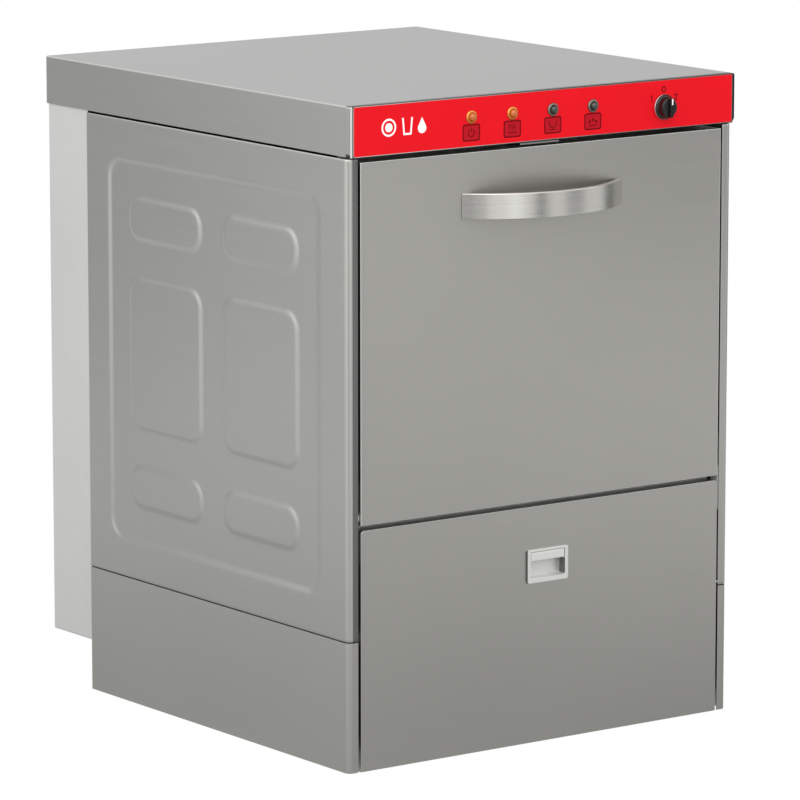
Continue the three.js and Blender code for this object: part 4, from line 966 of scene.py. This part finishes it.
    def knob(self, lo, hi, at, front):
        r = (hi.x - lo.x) / 2
        rise = front - lo.y
        place = facing_front(front, at.x, at.z)
        ring = turned([(r * 0.93, 0.5 * MM), (r * 0.93, 2.4 * MM), (r * 0.97, 2.9 * MM), (r, 2.2 * MM),
                       (r, 0.5 * MM), (r * 0.93, 0.5 * MM)], 48, place)
        put("control_knob_ring", ring, "chrome", "control_knob")
        body = turned([(r * 0.90, 0.5 * MM), (r * 0.90, 2.5 * MM), (r * 0.80, 4.0 * MM),
                       (r * 0.76, rise * 0.60), (r * 0.70, rise * 0.70), (r * 0.60, rise * 0.73),
                       (r * 0.02, rise * 0.74)], 48, place)
        for vert in body.verts:      # grip flutes round the rim
            out = Vector((vert.co.x - at.x, vert.co.z - at.z))
            if 0.72 * r < out.length < 0.85 * r:
                turn = math.atan2(out.y, out.x)
                pinch = 1 - 0.025 * (1 + math.cos(24 * turn))
                vert.co.x, vert.co.z = at.x + out.x * pinch, at.z + out.y * pinch
        half = r * 0.19
        pointer = 0.3 * MM
        ridge = brick((at.x - half, front - rise + pointer, at.z - r * 0.80),
                      (at.x + half, front - rise * 0.5, at.z + r * 0.80))
        for vert in ridge.verts:
            if vert.co.y < front - rise * 0.9:
                vert.co.x = at.x + (vert.co.x - at.x) * 0.6
                vert.co.z = at.z + (vert.co.z - at.z) * 0.92
        put("control_knob_body", merge(body, ridge), "gloss_black", "control_knob",
            ("control_knob",), 0.5 * MM)
        mark = brick((at.x - 0.9 * MM, front - rise, at.z + r * 0.24),
                     (at.x + 0.9 * MM, front - rise + 2 * pointer, at.z + r * 0.70))
        put("control_knob_pointer", mark, "print_light", "control_knob")


# ---------------------------------------------------------------- door
HANDLE_LENGTH = 0.972     # of the bar that the fixing centres would allow
SPRING_END = 8 * MM       # length of spring that shows where its end lies
INNER_FIELD = {"side": 42, "foot": 45, "head": 38, "radius": 30, "slope": 14, "raise": 3, "step": 9}   # mm


class DISHWASHER_OT_door(bpy.types.Operator):
    """Door skins, insulation, handle, hinge arms, springs and catch"""
    bl_idname = "dishwasher.door"
    bl_label = "Door"

    def execute(self, context):
        refine("door_outer", "front_steel", 1.6, 4, burnished=True)
        lo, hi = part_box("door_inner")
        put("door_inner_pressed", self.inner_panel(lo, hi), "satin_steel", "door",
            ("door_inner",), sheet=0.8 * MM)
        refine("door_insulation", "grey_foam", 1.5)
        lo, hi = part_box("door_handle")
        bow = copy_of("door_handle")
        for vert in bow.verts:      # the bar is a little shorter than its fixing centres allow
            vert.co.x = lo.x + (vert.co.x - lo.x) * HANDLE_LENGTH
        put("door_handle_bow", bow, "handle_steel", "door", ("door_handle",),
            1.1 * MM, steps=3)
        for name, _ in SIDES:
            refine("hinge_arm_" + name, "galvanised_steel", 0.5)
            refine("hinge_bracket_" + name, "galvanised_steel", 0.5)
            self.spring(name, context.scene.dishwasher_chamber)
        refine("door_catch", "chrome", 0.7)
        refine("catch_bracket", "galvanised_steel", 0.4)
        return {"FINISHED"}

    def inner_panel(self, lo, hi):
        """Pressed inner skin: a flat rim for the gasket round a shallow raised field."""
        step = INNER_FIELD["step"] * MM
        columns, rows = round((hi.x - lo.x) / step), round((hi.z - lo.z) / step)
        side = INNER_FIELD["side"] * MM
        field = (lo.x + side, lo.z + INNER_FIELD["foot"] * MM, hi.x - side, hi.z - INNER_FIELD["head"] * MM)
        rings = []
        for j in range(rows + 1):
            z = lo.z + (hi.z - lo.z) * j / rows
            ring = []
            for i in range(columns + 1):
                x = lo.x + (hi.x - lo.x) * i / columns
                sunk = ease(inside(x, z, field, INNER_FIELD["radius"] * MM) / (INNER_FIELD["slope"] * MM))
                ring.append((x, hi.y - INNER_FIELD["raise"] * MM * sunk, z))
            rings.append(ring)
        made = loft(rings, closed=False)
        made.normal_update()
        made.faces.ensure_lookup_table()
        if made.faces[0].normal.y < 0:
            bmesh.ops.reverse_faces(made, faces=made.faces)
        return made

    def spring(self, name, sizes):
        """Close-wound extension spring with a straight leg at each end where its hook would be."""
        node = "door_spring_" + name
        lo, hi, at = sections(node)
        solid = NODES[node]
        points = [solid.matrix_world @ v.co for v in solid.data.vertices]
        low = [p.y for p in points if p.z < lo.z + SPRING_END]
        high = [p.y for p in points if p.z > hi.z - SPRING_END]
        start = Vector((at.x, sum(low) / max(1, len(low)), lo.z + 2 * MM))
        end = Vector((at.x, sum(high) / max(1, len(high)), hi.z - 2 * MM))
        ahead = (end - start).normalized()
        side = Vector((1, 0, 0))
        up = side.cross(ahead).normalized()
        radius = (hi.x - lo.x) / 2 - sizes.coil_wire / 2
        span = (end - start).length
        hook = radius * 1.6
        turns = round((span - 2 * hook) / sizes.coil_pitch)
        path = [start]
        steps = 9
        for i in range(turns * steps + 1):
            turn = 2 * math.pi * i / steps
            along_it = hook + (span - 2 * hook) * i / (turns * steps)
            path.append(start + ahead * along_it + side * (radius * math.sin(turn))
                        + up * (radius * math.cos(turn)))
        path.append(end)
        wire = [(sizes.coil_wire / 2 * math.cos(t * math.pi / 3), sizes.coil_wire / 2 *
                 math.sin(t * math.pi / 3)) for t in range(6)]
        made = swept([tuple(p) for p in path], wire)
        piece = put(node + "_coil", made, "polished_steel", None, (node,))
        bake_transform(piece)


# ---------------------------------------------------------------- service panel
class DISHWASHER_OT_service_panel(bpy.types.Operator):
    """Service panel with its flush latch"""
    bl_idname = "dishwasher.service_panel"
    bl_label = "Service panel"

    def execute(self, context):
        refine("service_panel", "front_steel", 1.0, 3, burnished=True)
        lo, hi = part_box("latch_housing")
        made = copy_of("latch_housing")
        for face in made.faces:     # painted shade: walls inside the recess that face left or down get a darker zinc
            deep = face.calc_center_median().y > lo.y + 1.0 * MM
            face.material_index = 1 if deep and (face.normal.x < -0.6 or face.normal.z < -0.6) else 0
        put("latch_housing_skin", made, ("zinc_casting", "zinc_recess_painted_shade"), "service_panel",
            ("latch_housing",), 0.7 * MM, steps=3)
        refine("latch_lever", "zinc_casting", 0.7, 3)
        refine("latch_bolt", "galvanised_steel", 0.4)
        return {"FINISHED"}


# ---------------------------------------------------------------- wash chamber
def framed(profile, x0, z0, x1, z1, corner):
    """A profile of (inset, y) points carried round an upright rounded rectangle."""
    rings = []
    for inset, y in profile:
        loop = rounded_loop(x0 + inset, z0 + inset, x1 - inset, z1 - inset, max(corner - inset, 1 * MM), 6)
        rings.append([(x, y, z) for x, z in loop])
    made = loft(rings)
    bmesh.ops.remove_doubles(made, verts=made.verts, dist=1e-7)
    bmesh.ops.recalc_face_normals(made, faces=made.faces)
    return made


def perforated(x0, y0, x1, y1, z, thickness, hole, pitch, keep_clear):
    """A plate with rows of round holes, leaving out those near the (x, y, radius) circles given."""
    loops = [rounded_loop(x0, y0, x1, y1, 6 * MM)]
    loops += [circle_loop(x, y, r, 32) for x, y, r in keep_clear]
    columns, rows = int((x1 - x0) / pitch) - 1, int((y1 - y0) / pitch) - 1
    for j in range(rows):
        for i in range(columns):
            x = (x0 + x1) / 2 + (i - (columns - 1) / 2) * pitch
            y = (y0 + y1) / 2 + (j - (rows - 1) / 2) * pitch
            if all(math.hypot(x - cx, y - cy) > r + hole for cx, cy, r in keep_clear):
                loops.append(circle_loop(x, y, hole / 2, 8))
    return flat_plate(loops, thickness, 0.0, Matrix.Translation((0, 0, z)))


def reach_of(node):
    """Centre, half length and heading of a bar turned about Z."""
    solid = NODES[node]
    lo, hi, at = sections(node)
    points = [solid.matrix_world @ v.co for v in solid.data.vertices]
    far = max(points, key=lambda p: math.hypot(p.x - at.x, p.y - at.y))
    return lo, hi, at, math.hypot(far.x - at.x, far.y - at.y), math.atan2(far.y - at.y, far.x - at.x)


class DISHWASHER_OT_chamber(bpy.types.Operator):
    """Wash chamber, gasket, rack rails, filter, strainer and overflow"""
    bl_idname = "dishwasher.chamber"
    bl_label = "Wash chamber"

    def execute(self, context):
        sizes = context.scene.dishwasher_chamber
        refine("wash_tank", "satin_steel", 0.5)
        lo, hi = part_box("door_gasket")
        bulb = [(0, hi.y), (0, lo.y + 1.6 * MM), (1.2 * MM, lo.y + 0.4 * MM), (3.4 * MM, lo.y),
                (5.6 * MM, lo.y + 0.4 * MM), (6.8 * MM, lo.y + 1.7 * MM), (11.6 * MM, lo.y + 2.2 * MM),
                (11.6 * MM, hi.y), (0, hi.y)]
        put("door_gasket_bulb", framed(bulb, lo.x, lo.z, hi.x, hi.z, 16 * MM), "black_rubber", "cabinet",
            ("door_gasket",))
        for name, _ in SIDES:
            refine("rack_rail_" + name, "polished_steel", 0.5)
        for node, edge in (("lower_arm_post", 0.8), ("wash_riser", 1.0), ("tank_heater", 0.0),
                           ("suction_strainer", 0.5)):
            refine(node, "polished_steel", edge)
        refine("overflow_pipe", "white_plastic", 1.0)
        lo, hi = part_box("surface_filter")
        post_lo, post_hi, post = sections("lower_arm_post")
        pipe_lo, pipe_hi, pipe = sections("overflow_pipe")
        gap = 2 * MM
        holes = [(post.x, post.y, (post_hi.x - post_lo.x) / 2 + gap),
                 (pipe.x, pipe.y, (pipe_hi.x - pipe_lo.x) / 2 + gap)]
        put("surface_filter_mesh", perforated(lo.x, lo.y, hi.x, hi.y, lo.z, hi.z - lo.z, sizes.perforation,
                                              sizes.pitch, holes),
            "polished_steel", "cabinet", ("surface_filter",))
        lift = framed([(0, 0), (1.6 * MM, 0), (1.6 * MM, 1.6 * MM), (0, 1.6 * MM), (0, 0)],
                      -34 * MM, 0, 34 * MM, 26 * MM, 8 * MM)
        put("surface_filter_grip", moved(lift, Matrix.Translation((-150 * MM, (lo.y + hi.y) / 2, lo.z))),
            "polished_steel", "cabinet")
        return {"FINISHED"}


class DISHWASHER_OT_arms(bpy.types.Operator):
    """Wash and rinse arms with their nozzles"""
    bl_idname = "dishwasher.arms"
    bl_label = "Spray arms"

    def execute(self, context):
        for node, width, hub, nozzles, up in (
                ("lower_wash_arm", 32, 31, 4, 1), ("lower_rinse_arm", 13, 19, 5, 1),
                ("upper_wash_arm", 32, 31, 4, -1), ("upper_rinse_arm", 13, 19, 5, -1)):
            self.arm(node, width * MM, hub * MM, nozzles, up)
        return {"FINISHED"}

    def arm(self, node, width, hub, nozzles, up):
        """Pressed tube that narrows to closed, rounded ends; slots stand on the side it sprays from."""
        lo, hi, at, reach, heading = reach_of(node)
        tall = (hi.z - lo.z) / 2
        count = 28
        rings = []
        for i in range(count + 1):
            t = -math.cos(math.pi * i / count)
            x = reach * t
            taper = (1 - 0.30 * abs(t)) * math.sqrt(max(1 - abs(t) ** 10, 0.0)) + 0.02
            half, rise = width / 2 * taper, tall * min(1.0, taper * 1.15)
            ring = [(x, half * math.copysign(abs(math.cos(a)) ** 0.6, math.cos(a)),
                     rise * math.copysign(abs(math.sin(a)) ** 0.75, math.sin(a)))
                    for a in (2 * math.pi * k / 20 for k in range(20))]
            rings.append(ring)
        bar = loft(rings, cap_start=True, cap_end=True)
        bore = 7.4 * MM
        collar = turned([(bore, -tall), (hub * 0.82, -tall), (hub, -tall * 0.7), (hub, tall * 0.7),
                         (hub * 0.82, tall), (bore, tall), (bore, -tall)], 40)
        place = Matrix.Translation(at) @ Matrix.Rotation(heading, 4, "Z")
        made = moved(merge(bar, collar), place)
        put(node + "_tube", made, "polished_steel", node, (node,), smooth=50)
        slots, mouth_shade = [], []
        for way in (-1, 1):
            for i in range(nozzles):
                x = way * (hub + 12 * MM + i * (reach - hub - 34 * MM) / (nozzles - 1))
                w, d = min(width * 0.36, 9 * MM), 2.6 * MM
                z = up * tall * 0.86
                rim = rounded_loop(x - d, -w, x + d, w, d, 4)
                slots.append(flat_plate([rim], tall * 0.16, 0.2 * MM,
                                        Matrix.Translation((0, 0, min(z, z + up * tall * 0.14)))))
                # a dark plate on each slot stands for the shade inside a nozzle mouth that is not cut:
                # painted shade
                mouth = rounded_loop(x - d * 0.42, -w * 0.78, x + d * 0.42, w * 0.78, d * 0.42, 3)
                level = tall + 0.02 * MM if up > 0 else -tall - 0.08 * MM
                mouth_shade.append(flat_plate([mouth], 0.06 * MM, 0.0, Matrix.Translation((0, 0, level))))
        put(node + "_nozzles", moved(merge(*slots), place), "polished_steel", node)
        put(node + "_nozzle_mouth_shade", moved(merge(*mouth_shade), place), "black_rubber", node)


# ---------------------------------------------------------------- machinery
BAND_WIDTH = 9 * MM       # worm-drive hose clamp
CLAMP_INLET, CLAMP_OUTLET = 19.3 * MM, 16.3 * MM     # over the two hoses
CLAMP_INSET = 9 * MM      # from the hose's end to the middle of its clamp


def hoop(radius, thickness, width, steps, place):
    """A flat band round an axis."""
    return turned([(radius, -width / 2), (radius + thickness, -width / 2),
                   (radius + thickness, width / 2), (radius, width / 2), (radius, -width / 2)], steps, place)


def clamp_ring(at, way, radius, width=BAND_WIDTH):
    """Worm-drive hose clamp: a band with its screw housing."""
    heading = Vector(way).to_track_quat("Z", "Y").to_matrix().to_4x4()
    place = Matrix.Translation(at) @ heading
    band = hoop(radius, 1.0 * MM, width, 28, place)
    box = moved(brick((-7 * MM, radius, -width / 2), (7 * MM, radius + 6 * MM, width / 2)), place)
    return merge(band, box)


class DISHWASHER_OT_machinery(bpy.types.Operator):
    """Pump, motor, hoses, boiler, rinse aid pump, air break and the connections at the back"""
    bl_idname = "dishwasher.machinery"
    bl_label = "Machinery"

    def execute(self, context):
        for node, material, edge in (
                ("pump_housing", "black_plastic", 1.2), ("pump_impeller", "grey_plastic", 0.5),
                ("pump_motor", "cast_iron", 0.6), ("suction_hose", "black_rubber", 0.0),
                ("pressure_hose", "black_rubber", 0.0), ("boiler", "polished_steel", 1.5),
                ("rinse_aid_pump", "grey_plastic", 1.0), ("air_break", "white_plastic", 2.0),
                ("inlet_valve", "brass", 0.6), ("drain_outlet", "grey_plastic", 0.6),
                ("cable_gland", "black_plastic", 0.8)):
            refine(node, material, edge)
        lo, hi, at = sections("suction_hose")
        _, pump_hi, pump = sections("pump_housing")
        clamps = [clamp_ring((pump_hi.x + CLAMP_INSET, pump.y, pump.z), (1, 0, 0), CLAMP_INLET),
                  clamp_ring((hi.x - 19 * MM, hi.y - 19 * MM, hi.z - CLAMP_INSET), (0, 0, 1), CLAMP_INLET)]
        lo, hi, at = sections("pressure_hose")
        clamps += [clamp_ring((pump.x, lo.y + 16 * MM, lo.z + CLAMP_INSET), (0, 0, 1), CLAMP_OUTLET),
                   clamp_ring((0, hi.y - 16 * MM, hi.z - CLAMP_INSET), (0, 0, 1), CLAMP_OUTLET)]
        put("hose_clamps", merge(*clamps), "galvanised_steel", "cabinet", edge=0.3 * MM)

        lo, hi, at = sections("boiler")
        ahead = facing_front(lo.y, at.x, at.z)
        plug = turned([(21.5 * MM, -7 * MM), (21.5 * MM, 0.4 * MM), (31 * MM, 0.4 * MM), (32 * MM, 1.4 * MM),
                       (32 * MM, 3.4 * MM), (14 * MM, 4.4 * MM), (0.3 * MM, 4.4 * MM)], 40, ahead)
        pins = [turned([(2.6 * MM, 3 * MM), (2.6 * MM, 13 * MM), (1.4 * MM, 14 * MM)], 12,
                       ahead @ Matrix.Translation((9 * MM * math.cos(a), 9 * MM * math.sin(a), 0)))
                for a in (0.4, 2.5, 4.6)]
        put("boiler_element", merge(plug, *pins), "brass", "cabinet", edge=0.3 * MM)
        r = (hi.x - lo.x) / 2
        bands = [hoop(r, 0.7 * MM, 10 * MM, 48, facing_front(y, at.x, at.z))
                 for y in (lo.y + 0.26 * (hi.y - lo.y), lo.y + 0.74 * (hi.y - lo.y))]
        put("boiler_bands", merge(*bands), "galvanised_steel", "cabinet")

        lo, hi, at = sections("pump_motor")
        box = brick((at.x - 34 * MM, at.y - 30 * MM, hi.z - 4 * MM), (at.x + 22 * MM, at.y + 30 * MM,
                                                                       hi.z + 26 * MM))
        put("pump_terminal_box", box, "black_plastic", "cabinet", edge=3 * MM, steps=3)
        return {"FINISHED"}


VENTS = {"rows": 9, "pitch": 13, "above": 190, "half_length": 62, "half_height": 2.4}    # mm
SCREW_INSET = {"side": 14, "foot": 16, "head": 34}      # mm


class DISHWASHER_OT_fixings(bpy.types.Operator):
    """Screws of the rear cover, and dark plates painted as the shade inside vents that are not cut"""
    bl_idname = "dishwasher.fixings"
    bl_label = "Fixings"

    def execute(self, context):
        lo, hi, at = sections("rear_cover")
        back = Matrix.Rotation(-QUARTER, 4, "X")
        screws = []
        inset = SCREW_INSET["side"] * MM
        for x in (lo.x + inset, at.x, hi.x - inset):
            for z in (lo.z + SCREW_INSET["foot"] * MM, at.z, hi.z - SCREW_INSET["head"] * MM):
                place = Matrix.Translation((x, hi.y - 0.2 * MM, z)) @ back
                screws.append(turned([(4.4 * MM, 0), (4.3 * MM, 0.9 * MM), (3.2 * MM, 1.9 * MM),
                                      (1.9 * MM, 2.3 * MM), (1.7 * MM, 1.3 * MM), (0.1 * MM, 1.3 * MM)],
                                     20, place))
        put("rear_cover_screws", merge(*screws), "polished_steel", "cabinet")
        # black plates stand for the shade inside the vent slots, which are not cut: painted shade
        vents = []
        long, tall = VENTS["half_length"] * MM, VENTS["half_height"] * MM
        for row in range(VENTS["rows"]):
            z = at.z + VENTS["above"] * MM - row * VENTS["pitch"] * MM
            vents.append(flat_plate([rounded_loop(-long, -tall, long, tall, tall)],
                                    0.3 * MM, 0.0, Matrix.Translation((at.x, hi.y - 0.1 * MM, z)) @ back))
        put("rear_cover_vent_shade", merge(*vents), "black_rubber", "cabinet")
        return {"FINISHED"}


# ---------------------------------------------------------------- registration
OPERATORS = [DISHWASHER_OT_stage, DISHWASHER_OT_side_panels, DISHWASHER_OT_covers, DISHWASHER_OT_base,
             DISHWASHER_OT_controls, DISHWASHER_OT_door, DISHWASHER_OT_service_panel,
             DISHWASHER_OT_chamber, DISHWASHER_OT_arms, DISHWASHER_OT_machinery, DISHWASHER_OT_fixings]


class DISHWASHER_PT_panel(bpy.types.Panel):
    """Lists the pieces in the 3D view's sidebar"""
    bl_label = "Dishwasher"
    bl_idname = "DISHWASHER_PT_panel"
    bl_space_type = "VIEW_3D"
    bl_region_type = "UI"
    bl_category = "Dishwasher"

    def draw(self, context):
        for operator in OPERATORS:
            self.layout.operator(operator.bl_idname)
        for key, group in GROUPS.items():
            for field in group.__annotations__:
                self.layout.prop(getattr(context.scene, key), field)


def register():
    for group in GROUPS.values():
        bpy.utils.register_class(group)
    for operator in OPERATORS:
        bpy.utils.register_class(operator)
    bpy.utils.register_class(DISHWASHER_PT_panel)
    for key, group in GROUPS.items():
        setattr(bpy.types.Scene, key, bpy.props.PointerProperty(type=group))


def unregister():
    for key in GROUPS:
        delattr(bpy.types.Scene, key)
    bpy.utils.unregister_class(DISHWASHER_PT_panel)
    for group in [*OPERATORS, *GROUPS.values()]:
        bpy.utils.unregister_class(group)


def main():
    register()
    for operator in OPERATORS:
        group, action = operator.bl_idname.split(".")
        getattr(getattr(bpy.ops, group), action)()


if __name__ == "__main__":
    main()
